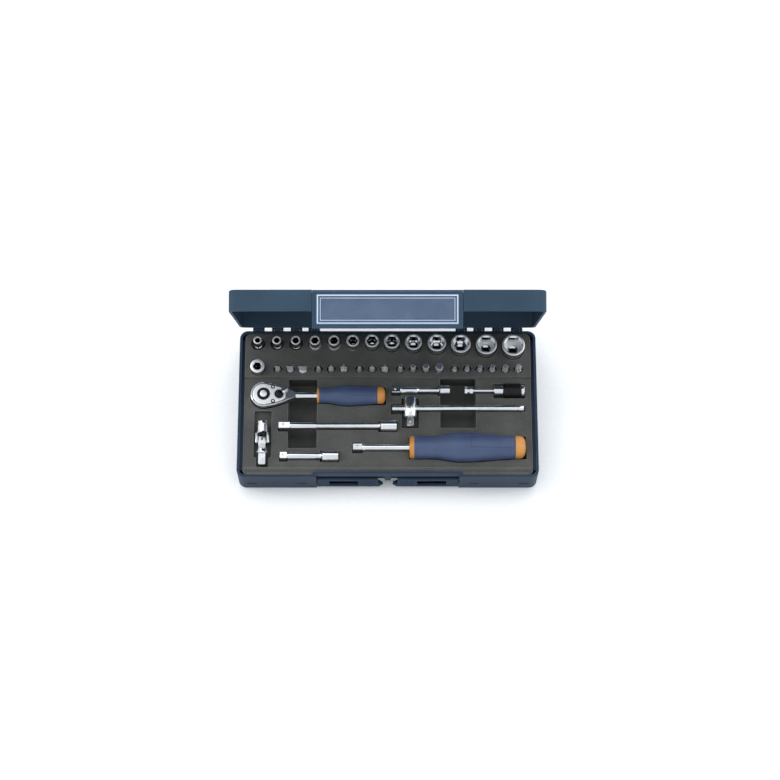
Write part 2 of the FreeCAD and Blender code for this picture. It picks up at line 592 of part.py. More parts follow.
def driver():
    y, axis = DRIVER_Y, "Dim.tool_axis"
    shaft = fuse(square_bar("Dim.drive_af-0.1", 8.5, -30.1, y, axis, ALONG_X),
                 turned([(0, 3.1), (0.8, 3.4), (3, 2.85), (60, 2.85)], -21.8, y, axis, ALONG_X))
    finish("driver_shaft", shaft)
    finish("driver_collar", tube(DRIVER_COLLAR, 2.85, DRIVER_START, y, axis))
    grip_start = DRIVER_START + DRIVER_COLLAR[-1][0]
    finish("driver_grip", cut(turned(DRIVER_GRIP, grip_start, y, axis, ALONG_X),
                              rod(2.85, 16.6, grip_start - 1, y, axis, ALONG_X)))
    finish("driver_cap", turned(DRIVER_CAP, grip_start + DRIVER_GRIP[-1][0], y, axis, ALONG_X))


def sliding_tee():
    y, axis = TEE_Y, "Dim.tool_axis"
    bar = [(0, 2.0), (0.6, 2.6), (114.0, 2.6), (114.6, 2.0)]
    finish("tee_bar", turned(bar, 3.4, y, axis, ALONG_X))
    barrel = [(0, 5.2), (0.6, 5.75), (17.3, 5.75), (17.9, 5.2)]
    head = fuse(turned(barrel, TEE_X, y + 9.2, axis, AGAINST_Y),
                square_bar("Dim.drive_af-0.1", 8.6, TEE_X, y - 8.2, axis, AGAINST_Y))
    finish("tee_head", cut(head, rod("Dim.sliding_bar+Dim.running", 20, TEE_X - 10, y, axis, ALONG_X)))


def universal_joint():
    """Two forks at right angles on a cross piece: the socket end behind, the drive square in front."""
    x, y, axis = JOINT_X, JOINT_Y, "Dim.tool_axis"
    low, high = f"{axis}-Dim.joint_half", f"{axis}+Dim.joint_half"
    barrel = turned([(0, 4.5), (0.5, 4.9), (9.3, 4.9), (10.0, 5.8), (10.9, 5.8)], x, -17.2, axis, AGAINST_Y)
    ears = [slab(x + side, x + side + 2.4, y - 2.4, -27.5, low, high) for side in (-6, 3.6)]
    socket_hole = square_bar("Dim.drive_af+Dim.drive_play", 9.5, x, -16.2, axis, AGAINST_Y)
    bore = rod("Dim.joint_pin+Dim.running", 14, x - 7, y, axis, ALONG_X)
    finish("joint_socket", cut(fuse(barrel, *ears), socket_hole, bore))
    cross = fuse(slab(f"{x}-Dim.joint_half", f"{x}+Dim.joint_half", y - 3.1, y + 3.1, low, high),
                 rod("Dim.joint_pin", 12.0, x - 6.0, y, axis, ALONG_X),
                 rod("Dim.joint_pin", 11.2, x, y, f"{axis}-5.6"))
    finish("joint_cross", cross)
    tines = [slab(x - 3.0, x + 3.0, y - 5.4, y + 2.8, f"{axis}+{under}", f"{axis}+{under + 2.1}")
             for under in (-5.6, 3.5)]
    bridge = slab(x - 3.0, x + 3.0, y - 6.8, y - 4.6, f"{axis}-5.6", f"{axis}+5.6")
    neck = turned([(0, 4.3), (1.0, 4.4), (3.4, 5.3), (4.6, 5.3), (5.0, 4.9)], x, y - 6.6, axis, AGAINST_Y)
    square = square_bar("Dim.drive_af-0.1", 10.2, x, y - 11.4, axis, AGAINST_Y)
    upright_bore = rod("Dim.joint_pin+Dim.running", 20, x, y, f"{axis}-10")
    finish("joint_drive", cut(fuse(*tines, bridge, neck, square), upright_bore))


def extension(name, y, x_square, x_thick, x_slim, x_end, x_last, radii):
    """A drive extension: square end, thick part, slim shaft and socket end."""
    thick, slim, end = radii
    axis = "Dim.tool_axis"
    steps = [(0, thick - 0.5), (0.6, thick), (x_slim - x_thick - 1, thick), (x_slim - x_thick, slim),
             (x_end - x_thick - 1.6, slim), (x_end - x_thick, end), (x_last - x_thick - 0.5, end),
             (x_last - x_thick, end - 0.4)]
    blank = fuse(turned(steps, x_thick, y, axis, ALONG_X),
                 square_bar("Dim.drive_af-0.1", x_thick - x_square + 0.3, x_square, y, axis, ALONG_X))
    if name == "bit_extension":
        hole = prism("Dim.drive_af+Dim.drive_play", 9, x_last - 7.4, y, axis, ALONG_X)
    else:
        hole = square_bar("Dim.drive_af+Dim.drive_play", 10, x_last - 8.4, y, axis, ALONG_X)
    finish(name, cut(blank, hole))


def bit_holder():
    (x, y), axis = HOLDER_AT, "Dim.tool_axis"
    last = x + HOLDER[-1][0]
    hole = prism("Dim.drive_af+Dim.drive_play", 12, last - 10, y, axis, ALONG_X)
    finish("holder_body", cut(turned(HOLDER, x, y, axis, ALONG_X), hole))
    finish("holder_sleeve", tube([(0, 5.4), (0.8, 6.2), (15.0, 6.2), (15.8, 5.4)], 4.65, x + 33.4, y, axis))


def rack_insert():
    half = "Dim.case_width/2-Dim.shell_wall-Dim.side_ledge-Dim.insert_gap"
    back = "Dim.case_depth/2-Dim.shell_wall-Dim.insert_gap"
    low = "Dim.shell_floor+0.1"
    blank = rounded(slab(f"-({half})", half, "Dim.rack_front", back, low, "Dim.rack_top"), 4.3,
                    lambda edge: upright(edge) and edge.Vertexes[0].Point.y > 40)
    cutters = []
    for _, across, outside, x, y in SOCKETS:
        radius = max(dim.small_body, outside) / 2 + 0.4
        cutters.append(rod(radius, 40, x, y, "Dim.socket_top-Dim.socket_length"))
        cutters.append(rod("Dim.under_hole", 20, x, y, "Dim.socket_top-Dim.socket_length-3"))
    x, y = ADAPTER
    cutters.append(rod("Dim.adapter_od/2+0.4", 40, x, y, "Dim.bit_top-Dim.bit_length"))
    cutters.append(rod("Dim.under_hole", 20, x, y, "Dim.bit_top-Dim.bit_length-3"))
    for group in BIT_GROUPS.values():
        for x, _ in group:
            cutters.append(rod("Dim.bit_hole", 40, x, "Dim.bit_row", "Dim.bit_top-Dim.bit_length"))
    return finish("rack_insert", cut(blank, *cutters))


def grown(steps, gap):
    """A turned outline made wider and longer by a gap, for its pocket."""
    wide = [(along, radius + gap) for along, radius in steps]
    return [(wide[0][0] - gap, wide[0][1])] + wide[1:-1] + [(wide[-1][0] + gap, wide[-1][1])]


def tool_insert():
    half = "Dim.case_width/2-Dim.shell_wall-Dim.side_ledge-Dim.insert_gap"
    front = "-Dim.case_depth/2+Dim.shell_wall+Dim.insert_gap"
    low = "Dim.shell_floor+0.1"
    blank = rounded(slab(f"-({half})", half, front, "Dim.rack_front-0.2", low, "Dim.tray_top"), 4.3,
                    lambda edge: upright(edge) and edge.Vertexes[0].Point.y < 0)
    ridge = slab(f"-({half})+1.5", f"{half}-1.5", "Dim.ridge_y", "Dim.ridge_y+Dim.ridge_width",
                 "Dim.tray_top-1", "Dim.rail_top")
    lip = slab(f"-({half})+4.4", f"{half}-4.4", front, f"{front}+Dim.lip_width",
               "Dim.tray_top-1", "Dim.rail_top-0.4")
    return finish("tool_insert", cut(fuse(blank, ridge, lip), *front_reliefs(), *pockets()))


def front_reliefs():
    """Room for the wall of the case's front recess."""
    half = "Dim.recess_half+Dim.cheek+0.4"
    front = "-Dim.case_depth/2"
    return [slab(f"-({half})", half, front, f"{front}+Dim.recess_foot+Dim.cheek+1", 0,
                 "Dim.ledge_under+Dim.cheek+0.6"),
            slab(f"-({half})", half, front, f"{front}+Dim.recess_deep+Dim.cheek+0.3", 0, 60)]


def pockets():
    """A pocket for every tool, wider than the tool by pocket_gap, and the two finger wells."""
    gap = dim.pocket_gap
    axis = dim.tool_axis
    under_joint = "Dim.tool_axis-6.4"
    x, y = RATCHET
    holder_x, holder_y = HOLDER_AT
    grip = [(0, 6.7)] + [(along + 1.8, radius) for along, radius in RATCHET_GRIP[1:-1]] + [(59.0, 7.6)]
    handle = [(0, 9.9)] + [(along + 4.0, radius) for along, radius in DRIVER_GRIP[1:]] + [(99.8, 9.9)]
    made = [
        slab(*LEFT_WELL, "Dim.well_floor", 60),
        slab(*RIGHT_WELL, "Dim.well_floor", 60),
        rod(dim.head_radius + gap, 40, x, y, "Dim.head_bottom-1.6"),
        plate(head_outline(gap), 30, (0, 0, "Dim.head_bottom-0.4")),
        rod("Dim.spindle_radius+0.6", 40, x, y, "Dim.head_bottom-9.2"),
        rod(3.4 + gap, 30, x + 24, y, axis, ALONG_X),
        turned(grown(grip, gap), x + COLLAR_START, y, axis, ALONG_X),
        slab(JOINT_X - 7.5, JOINT_X + 7.5, -49.0, -6.6, under_joint, 60),
        slab(JOINT_X - 5.2, JOINT_X + 5.2, -57.4, -48.0, under_joint, 60),
        rod(4.6 + gap, 11.0, 2.4, TEE_Y, axis, ALONG_X),
        rod(dim.sliding_bar + gap, 117.0, 2.4, TEE_Y, axis, ALONG_X),
        slab(TEE_X - 7.6, TEE_X + 7.6, TEE_Y - 17.6, TEE_Y + 9.9, under_joint, 60),
        rod(3.7 + gap, 9, holder_x - 0.6, holder_y, axis, ALONG_X),
        rod(2.2 + gap, 30, holder_x + 3.6, holder_y, axis, ALONG_X),
        rod(6.2 + gap, 27.7, holder_x + 25.2, holder_y, axis, ALONG_X),
        rod(4.6 + gap, 9.6, -30.8, DRIVER_Y, axis, ALONG_X),
        rod(2.85 + gap, 50, -30, DRIVER_Y, axis, ALONG_X),
        turned(grown(handle, gap), DRIVER_START, DRIVER_Y, axis, ALONG_X),
    ]
    for y, x_square, x_thick, _, x_end, x_last, (thick, _, end) in EXTENSIONS.values():
        made.append(rod(4.5 + gap, x_thick - x_square + 2 * gap, x_square - gap, y, axis, ALONG_X))
        made.append(rod(thick + gap, x_last - x_thick, x_thick, y, axis, ALONG_X))
        made.append(rod(end + gap, x_last - x_end + 2 + 2 * gap, x_end - 2 - gap, y, axis, ALONG_X))
    return made


def check_and_write():
    """Stop on any failed object, then write one STEP file for each sub-part."""
    doc.recompute()
    broken = [thing.Label for thing in doc.Objects if "Invalid" in thing.State or "Error" in thing.State]
    if broken:
        raise SystemExit(f"failed objects: {broken}")
    os.makedirs("parts", exist_ok=True)
    for thing in parts:
        shape = thing.Shape
        if shape.isNull() or not shape.isValid() or not shape.Solids:
            raise SystemExit(f"bad shape: {thing.Label}")
        shape.exportStep(f"parts/{thing.Label}.step")
        room = shape.BoundBox
        print(f"{thing.Label:18s} solids {len(shape.Solids)} volume {shape.Volume / 1000:7.2f} cm3 "
              f"x {room.XMin:7.1f} {room.XMax:7.1f} y {room.YMin:6.1f} {room.YMax:6.1f} "
              f"z {room.ZMin:6.1f} {room.ZMax:6.1f}")


def build():
    base_shell()
    hinge_pins()
    lid_shell()
    closing_flap()
    latch_plate(-1)
    latch_plate(1)
    latch_pins()
    for name, across, outside, x, y in SOCKETS:
        socket(f"socket_{name}mm", across, outside, x, y, "Dim.socket_top", dim.socket_length)
    socket("bit_adapter", dim.drive_af, dim.adapter_od, *ADAPTER, "Dim.bit_top", dim.bit_length)
    for kind in BIT_GROUPS:
        bit_group(kind)
    ratchet()
    driver()
    sliding_tee()
    universal_joint()
    for name, values in EXTENSIONS.items():
        extension(name, *values)
    bit_holder()
    rack_insert()
    tool_insert()
    check_and_write()


build()
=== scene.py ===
"""Looks of the socket wrench set: finished tools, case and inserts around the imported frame."""
import math

import bmesh
import bpy
from mathutils import Matrix, Vector


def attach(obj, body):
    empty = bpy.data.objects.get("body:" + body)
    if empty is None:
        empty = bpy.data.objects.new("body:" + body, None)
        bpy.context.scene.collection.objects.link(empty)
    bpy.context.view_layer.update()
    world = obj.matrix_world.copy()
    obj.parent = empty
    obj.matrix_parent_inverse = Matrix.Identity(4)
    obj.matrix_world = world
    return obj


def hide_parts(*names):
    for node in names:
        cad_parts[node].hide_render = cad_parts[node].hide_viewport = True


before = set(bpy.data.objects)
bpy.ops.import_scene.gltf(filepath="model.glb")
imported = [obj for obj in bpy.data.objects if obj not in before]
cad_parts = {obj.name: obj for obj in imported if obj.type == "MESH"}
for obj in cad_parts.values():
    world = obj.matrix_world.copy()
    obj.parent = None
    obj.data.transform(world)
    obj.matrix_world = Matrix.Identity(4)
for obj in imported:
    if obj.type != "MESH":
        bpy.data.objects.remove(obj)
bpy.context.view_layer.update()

MM = 0.001
AXIS = 31.0  # height of the tools that lie in the tray, mm
AROUND = 72  # vertices in a ring: its corners fall on those of a hexagon and of a square
DRIVE = 6.25  # across the flats of a drive square, mm
DRIVE_HOLE = 6.45
SHANK = 6.35
SOCKET_LENGTH = 25.0
SOCKET_LOW = 15.0  # height of the sockets' lower ends
BIT_LOW = 13.0
END_HOLE = 3.22  # half across the flats of the hole in an extension's or holder's end
HINGE = Vector((0, 69.0, 31.2))  # a point on the lid's hinge line, mm
LID_OPEN = 74.0  # degrees
FACING_UP = 0.9  # least upward part of a normal for a face to count as an upper flat, which gets the painted shade
FLAT_UP = 0.93  # the same for the universal joint, whose edges are rounder


# ---------------------------------------------------------------- materials

def linear(code):
    """An sRGB hex value as linear red, green, blue and alpha."""
    out = []
    for start in (0, 2, 4):
        part = int(code[start:start + 2], 16) / 255
        out.append(part / 12.92 if part <= 0.04045 else ((part + 0.055) / 1.055) ** 2.4)
    return (*out, 1.0)


def add(material, kind, inputs=None, **settings):
    """Add a node: settings are its properties, inputs are values or the sockets that feed it.

    Inputs go by name, or by number where names repeat.
    """
    node = material.node_tree.nodes.new(kind)
    for name, value in settings.items():
        setattr(node, name, value)
    for name, value in (inputs or {}).items():
        if isinstance(value, bpy.types.NodeSocket):
            material.node_tree.links.new(value, node.inputs[name])
        else:
            node.inputs[name].default_value = value
    return node


def maths(material, operation, *values):
    """The result of a Math node, from values or sockets."""
    return add(material, "ShaderNodeMath", dict(enumerate(values)), operation=operation).outputs[0]


def new_material(name, **values):
    """A material with its Principled shader's even values set on the shader's own sockets."""
    material = bpy.data.materials.new(name)
    material.use_nodes = True
    shader = material.node_tree.nodes["Principled BSDF"]
    for socket, value in values.items():
        shader.inputs[socket.replace("_", " ")].default_value = value
    return material, shader


def feed(material, shader, socket, source):
    material.node_tree.links.new(source, shader.inputs[socket])


def grain(material, across_mm, detail=2.0, stretch=(1, 1, 1), rough=0.5):
    """Noise on the piece's own coordinates, one cell about across_mm wide; stretch lengthens it."""
    coordinates = add(material, "ShaderNodeTexCoord")
    per_metre = 1000.0 / across_mm
    mapping = add(material, "ShaderNodeMapping", {"Vector": coordinates.outputs["Object"],
                                                  "Scale": [per_metre / side for side in stretch]})
    return add(material, "ShaderNodeTexNoise", {"Vector": mapping.outputs["Vector"], "Scale": 1.0,
                                                "Detail": detail, "Roughness": rough}).outputs["Fac"]


def spread(material, source, low, high, start=0.3, stop=0.7):
    """A number that runs from low to high as the source runs from start to stop."""
    return add(material, "ShaderNodeMapRange", {"Value": source, "From Min": start, "From Max": stop,
                                                "To Min": low, "To Max": high}).outputs["Result"]


def tint(material, source, dark, light, start=0.3, stop=0.7):
    """A colour between two hex values."""
    factor = spread(material, source, 0.0, 1.0, start, stop)
    return add(material, "ShaderNodeMix", {"Factor": factor, "A": linear(dark), "B": linear(light)},
               data_type="RGBA").outputs["Result"]


def blended(material, factor, under, over_hex, strength=1.0):
    """A colour laid over another where the factor is high."""
    amount = maths(material, "MULTIPLY", factor, strength)
    return add(material, "ShaderNodeMix", {"Factor": amount, "A": under, "B": linear(over_hex)},
               data_type="RGBA").outputs["Result"]


def edges(material, radius_mm):
    """1 on corners sharper than a radius, 0 on flats: where moulded or plated edges rub first, and, on the
    insert, where a painted highlight lies.
    """
    bevel = add(material, "ShaderNodeBevel", {"Radius": radius_mm * MM}, samples=4)
    surface = add(material, "ShaderNodeNewGeometry")
    dot = add(material, "ShaderNodeVectorMath", {0: bevel.outputs["Normal"], 1: surface.outputs["Normal"]},
              operation="DOT_PRODUCT")
    return spread(material, dot.outputs["Value"], 1.0, 0.0, 0.80, 0.99)


def bump(material, shader, height, depth_mm, strength=1.0, normal=None):
    inputs = {"Height": height, "Distance": depth_mm * MM, "Strength": strength}
    if normal is not None:
        inputs["Normal"] = normal
    feed(material, shader, "Normal", add(material, "ShaderNodeBump", inputs).outputs["Normal"])


def textured_polypropylene(name, dark, light, worn, roughness):
    """Injection-moulded polypropylene with a spark-eroded grain: a soft sheen, and paler rubbed edges."""
    material, shader = new_material(name, IOR=1.49, Specular_IOR_Level=0.1)
    cloud = grain(material, 38.0, 3.0)
    fine = grain(material, 0.45, 2.0)  # the real grain is about 0.1 mm, drawn coarser so that it shows
    colour = tint(material, cloud, dark, light)
    feed(material, shader, "Base Color", blended(material, edges(material, 0.7), colour, worn, 0.35))
    feed(material, shader, "Roughness", spread(material, fine, roughness - 0.06, roughness + 0.08))
    bump(material, shader, fine, 0.04, 0.35)
    return material


def insert_plastic():
    """Charcoal moulded insert: dead matt, with a fine sandy grain, and edges lightened as a painted
    highlight.
    """
    material, shader = new_material("moulded_charcoal_insert", IOR=1.47, Specular_IOR_Level=0.25)
    cloud = grain(material, 22.0, 3.0)
    fine = grain(material, 0.6, 3.0)
    speck = grain(material, 1.4, 1.0)
    colour = tint(material, cloud, "474745", "545451")
    colour = blended(material, spread(material, speck, 0.0, 1.0, 0.60, 0.72), colour, "686865", 0.45)
    # painted highlight: pale A4A49E along the edges and front ridges, where light glints
    feed(material, shader, "Base Color", blended(material, edges(material, 0.8), colour, "A4A49E", 0.75))
    feed(material, shader, "Roughness", spread(material, fine, 0.62, 0.78))
    # moulded edges are never sharp: their normals turn over 0.7 mm
    rounding = add(material, "ShaderNodeBevel", {"Radius": 0.7 * MM}, samples=4)
    bump(material, shader, fine, 0.06, 0.5, rounding.outputs["Normal"])
    return material


def bright_chrome():
    """Mirror chrome over chrome vanadium: near-clear reflections, faint polishing lines and haze."""
    material, shader = new_material("polished_chrome_vanadium", Metallic=1.0)
    haze = grain(material, 6.0, 2.0)
    lines = grain(material, 0.6, 1.0, stretch=(12, 12, 1))  # polishing lines, drawn coarser than real
    feed(material, shader, "Base Color", tint(material, haze, "DFE0E2", "ECEDEE"))
    mixed = maths(material, "MULTIPLY", haze, lines)
    feed(material, shader, "Roughness", spread(material, mixed, 0.07, 0.14, 0.1, 0.45))
    bump(material, shader, lines, 0.002, 0.2)
    return material


def satin_chrome(name, stretch, dark="DADBDD", light="E6E7E8"):
    """Satin chrome: belt-finished along the tool, so reflections smear across it."""
    material, shader = new_material(name, Metallic=1.0)
    haze = grain(material, 9.0, 2.0)
    lines = grain(material, 0.6, 1.0, stretch=stretch)  # belt lines, drawn coarser than real
    feed(material, shader, "Base Color", tint(material, haze, dark, light))
    feed(material, shader, "Roughness", spread(material, lines, 0.15, 0.21))
    bump(material, shader, lines, 0.003, 0.25)
    return material


def blasted_steel():
    """Bit steel, hardened and sand-blasted: grey and dull, with a coarse sparkle."""
    material, shader = new_material("blasted_bit_steel", Metallic=0.4)
    fine = grain(material, 0.3, 2.0)
    cloud = grain(material, 3.0, 2.0)
    colour = tint(material, cloud, "B0B0B2", "C8C8CA")
    feed(material, shader, "Base Color", blended(material, edges(material, 0.35), colour, "D2D3D5", 0.7))
    feed(material, shader, "Roughness", spread(material, fine, 0.32, 0.46))
    bump(material, shader, fine, 0.02, 0.3)
    return material


def bright_tip():
    """Bit tip ground bright: pale, fine-ground steel."""
    material, shader = new_material("ground_tip_steel", Metallic=1.0)
    fine = grain(material, 0.3, 2.0)
    feed(material, shader, "Base Color", tint(material, fine, "D6D7D9", "ECEDEE"))
    feed(material, shader, "Roughness", spread(material, fine, 0.24, 0.34))
    return material


def highlight_rim_chrome():
    """Pale, half-matt chrome on upward rims, tops and the button: a painted highlight that keeps them bright
    beside dark neighbours.
    """
    material, shader = new_material("chrome_rim_painted_highlight", Metallic=0.8)
    fine = grain(material, 0.5, 2.0)
    feed(material, shader, "Base Color", tint(material, fine, "E4E5E6", "F4F4F4"))
    feed(material, shader, "Roughness", spread(material, fine, 0.36, 0.48))
    return material


def black_oxide():
    """Black-oxide steel: near black, oily sheen, grey where the edges rub."""
    material, shader = new_material("black_oxide_steel", Metallic=0.7)
    fine = grain(material, 0.35, 2.0)
    cloud = grain(material, 4.0, 2.0)
    colour = tint(material, cloud, "161617", "242426")
    feed(material, shader, "Base Color", blended(material, edges(material, 0.3), colour, "6E6E70", 0.5))
    feed(material, shader, "Roughness", spread(material, fine, 0.34, 0.48))
    bump(material, shader, fine, 0.02, 0.4)
    return material


def drawn_steel():
    """Drawn pin steel: grey, with lines along the wire."""
    material, shader = new_material("drawn_pin_steel", Metallic=1.0)
    lines = grain(material, 0.25, 2.0, stretch=(10, 1, 1))
    feed(material, shader, "Base Color", tint(material, lines, "8E8F92", "B2B3B6"))
    feed(material, shader, "Roughness", spread(material, lines, 0.28, 0.4))
    return material


def grip_polymer(name, label):
    """Two-part grip: blue thermoplastic rubber over polypropylene, satin, with a faint framed label.

    label is the frame's centre and half sizes in X and Y, in mm.
    """
    material, shader = new_material(name, IOR=1.5, Specular_IOR_Level=0.4)
    cloud = grain(material, 16.0, 2.0)
    fine = grain(material, 0.5, 2.0)
    frame_line = label_frame(material, *label)
    colour = tint(material, cloud, "3A4867", "43516F")
    colour = blended(material, frame_line, colour, "2A3452", 0.75)
    feed(material, shader, "Base Color", blended(material, edges(material, 0.8), colour, "707B9A", 0.3))
    feed(material, shader, "Roughness", spread(material, fine, 0.40, 0.52))
    bump(material, shader, maths(material, "SUBTRACT", fine, frame_line), 0.06, 0.35)
    return material


def label_frame(material, x, y, half_x, half_y):
    """A thin rectangular line, 1 on the line, on the side of the grip that faces up."""
    coordinates = add(material, "ShaderNodeTexCoord")
    parts = add(material, "ShaderNodeSeparateXYZ", {"Vector": coordinates.outputs["Object"]})
    reach = []
    for name, centre, half in (("X", x, half_x), ("Y", y, half_y)):
        from_centre = maths(material, "SUBTRACT", parts.outputs[name], centre * MM)
        away = maths(material, "ABSOLUTE", from_centre)
        reach.append(maths(material, "SUBTRACT", away, half * MM))
    off = maths(material, "ABSOLUTE", maths(material, "MAXIMUM", *reach))
    line = spread(material, off, 1.0, 0.0, 0.12 * MM, 0.42 * MM)
    upper = spread(material, parts.outputs["Z"], 0.0, 1.0, (AXIS + 1) * MM, (AXIS + 2) * MM)
    return maths(material, "MULTIPLY", line, upper)


def orange_polymer():
    """Orange end caps and collars: moulded ABS, half gloss, warm, slightly uneven."""
    material, shader = new_material("orange_moulded_abs", IOR=1.52, Specular_IOR_Level=0.5,
                                    Subsurface_Weight=0.08, Subsurface_Scale=0.002)
    cloud = grain(material, 9.0, 2.0)
    fine = grain(material, 0.5, 2.0)
    colour = tint(material, cloud, "BE7F38", "CC8C44")
    feed(material, shader, "Base Color", blended(material, edges(material, 0.5), colour, "F7C487", 0.4))
    feed(material, shader, "Roughness", spread(material, fine, 0.28, 0.42))
    bump(material, shader, fine, 0.03, 0.3)
    return material


def clear_acrylic():
    """Cast acrylic window with a cool tint: clear, glossy, with a few fine rub marks."""
    material, shader = new_material("tinted_acrylic", IOR=1.49, Transmission_Weight=0.95,
                                    Specular_IOR_Level=0.3)
    cloud = grain(material, 14.0, 3.0)
    feed(material, shader, "Base Color", tint(material, cloud, "BAC9DB", "C9D6E4"))
    feed(material, shader, "Roughness", spread(material, cloud, 0.06, 0.16))
    return material


def acrylic_edge():
    """The window's cut edges, which collect light: pale and bright."""
    material, shader = new_material("frosted_acrylic_edge", IOR=1.49)
    fine = grain(material, 0.5, 2.0)
    feed(material, shader, "Base Color", tint(material, fine, "A9BBD3", "C6D5E8"))
    feed(material, shader, "Roughness", spread(material, fine, 0.3, 0.45))
    return material


def label_card():
    """Blank coated card behind the window: grey-blue print, eggshell sheen."""
    material, shader = new_material("coated_label_card", IOR=1.45)
    fibre = grain(material, 1.2, 3.0)
    cloud = grain(material, 30.0, 2.0)
    feed(material, shader, "Base Color", tint(material, cloud, "6483A4", "6C8BAC"))
    feed(material, shader, "Roughness", spread(material, fibre, 0.42, 0.55))
    return material


def studio_floor():
    """Seamless white paper."""
    material, shader = new_material("white_paper_sweep", IOR=1.4, Specular_IOR_Level=0.1)
    fibre = grain(material, 3.0, 2.0)
    feed(material, shader, "Base Color", tint(material, fibre, "F6F6F6", "FAFAFA"))
    feed(material, shader, "Roughness", spread(material, fibre, 0.8, 0.95))
    return material


CASE = textured_polypropylene("textured_polypropylene_navy", "273444", "2D3B4C", "74859C", 0.50)
LID = textured_polypropylene("textured_polypropylene_navy_lid", "2F4150", "364858", "7F92A8", 0.50)
FLAP = textured_polypropylene("textured_polypropylene_flap", "2F4152", "364959", "8FA3BA", 0.48)
LATCH = textured_polypropylene("textured_polypropylene_latch", "283545", "2E3C4E", "74859C", 0.50)
INSERT = insert_plastic()
CHROME = bright_chrome()
SATIN_X = satin_chrome("satin_chrome_along", (14, 1, 1))
SATIN_Y = satin_chrome("satin_chrome_across", (1, 14, 1))
SHADED_CHROME_FLATS = satin_chrome("chrome_flats_painted_shade", (5, 5, 1), "A2A4A7", "B6B8BA")  # painted shade: darker, duller chrome on the upper flats, where the overhead lamp would glint
BIT = blasted_steel()
TIP = bright_tip()
PAINTED_HIGHLIGHT_RIM = highlight_rim_chrome()
BLACK = black_oxide()
PIN = drawn_steel()
RATCHET_GRIP = grip_polymer("blue_elastomer_small", (-22.1, 7.3, 8.6, 2.7))
DRIVER_GRIP = grip_polymer("blue_elastomer_large", (89.8, -38.6, 18.4, 5.0))
ORANGE = orange_polymer()
WINDOW = clear_acrylic()
WINDOW_EDGE = acrylic_edge()
CARD = label_card()


# ---------------------------------------------------------------- shapes

def circle(angle):
    """A round outline. An outline gives a point of its line at an angle."""
    return math.cos(angle), math.sin(angle)


def polar(distance):
    """An outline from a function that gives its distance from the centre at an angle."""
    def outline(angle):
        reach = distance(angle)
        return reach * math.cos(angle), reach * math.sin(angle)
    return outline


def flats(sides, turn=0.0):
    """A regular polygon whose flats are 1 from the centre, with a flat facing the angle turn."""
    part = 2 * math.pi / sides
    return polar(lambda angle: 1.0 / math.cos((angle - turn + part / 2) % part - part / 2))


def soft(power):
    """A square whose flats are 1 from the centre, with corners rounder for a lower power."""
    def distance(angle):
        return (abs(math.cos(angle)) ** power + abs(math.sin(angle)) ** power) ** (-1 / power)
    return polar(distance)


def blade(half_wide, half_thick):
    """A rectangle with a ring vertex on each corner."""
    unit = flats(4)

    def outline(angle):
        across, along = unit(angle)
        return across * half_wide, along * half_thick
    return outline


HEXAGON = flats(6, math.pi / 6)
SQUARE = flats(4)
DRIVE_SQUARE = soft(14)
SIX_LOBES = polar(lambda angle: 0.87 + 0.13 * math.cos(6 * angle))
CROSS = polar(lambda angle: 0.42 + 0.58 * abs(math.cos(2 * angle)) ** 2.2)
RIBBED_CROSS = polar(lambda angle: 0.42 + 0.58 * abs(math.cos(2 * angle)) ** 2.2
                     + 0.2 * abs(math.sin(2 * angle)) ** 10)


def rings(stack, through=False):
    """A solid drawn through rings of (height, radius, outline), in mm.

    With through, the last ring is the first one again, so the wall closes on itself.
    """
    bm = bmesh.new()
    turn = bm.verts.layers.float.new("turn")
    verts = bmesh.ops.create_circle(bm, segments=AROUND, radius=1.0, cap_ends=False)["verts"]
    for vert in verts:
        vert[turn] = math.atan2(vert.co.y, vert.co.x)
    ring_edges = list({edge for vert in verts for edge in vert.link_edges})
    first = list(ring_edges)
    for level, (height, radius, outline) in enumerate(stack):
        if level:
            grown = bmesh.ops.extrude_edge_only(bm, edges=ring_edges)["geom"]
            verts = [item for item in grown if isinstance(item, bmesh.types.BMVert)]
            ring_edges = [item for item in grown if isinstance(item, bmesh.types.BMEdge)
                          and all(vert in verts for vert in item.verts)]
        for vert in verts:
            across, along = outline(vert[turn])
            vert.co = (radius * across, radius * along, height)
    if through:
        bmesh.ops.remove_doubles(bm, verts=bm.verts, dist=1e-4)
    else:
        for loop in (first, ring_edges):
            bmesh.ops.contextual_create(bm, geom=loop)
    bmesh.ops.recalc_face_normals(bm, faces=bm.faces)
    bm.verts.layers.float.remove(bm.verts.layers.float["turn"])
    return bm


def lathe(steps, count=96):
    """A turned solid along its own +Z from (place, radius) steps: spun once round and capped by its ends."""
    bm = bmesh.new()
    line = [bm.verts.new((radius, 0, along)) for along, radius in steps]
    for here, there in zip(line, line[1:]):
        bm.edges.new((here, there))
    bmesh.ops.spin(bm, geom=bm.verts[:] + bm.edges[:], axis=(0, 0, 1), cent=(0, 0, 0), dvec=(0, 0, 0),
                   angle=2 * math.pi, steps=count, use_merge=True)
    for place in (steps[0], steps[-1]):
        rim = [edge for edge in bm.edges if edge.is_boundary
               and all(abs(vert.co.z - place[0]) < 1e-6 for vert in edge.verts)]
        if rim:
            bmesh.ops.contextual_create(bm, geom=rim)
    bmesh.ops.remove_doubles(bm, verts=bm.verts, dist=1e-5)
    bmesh.ops.recalc_face_normals(bm, faces=bm.faces)
    return bm


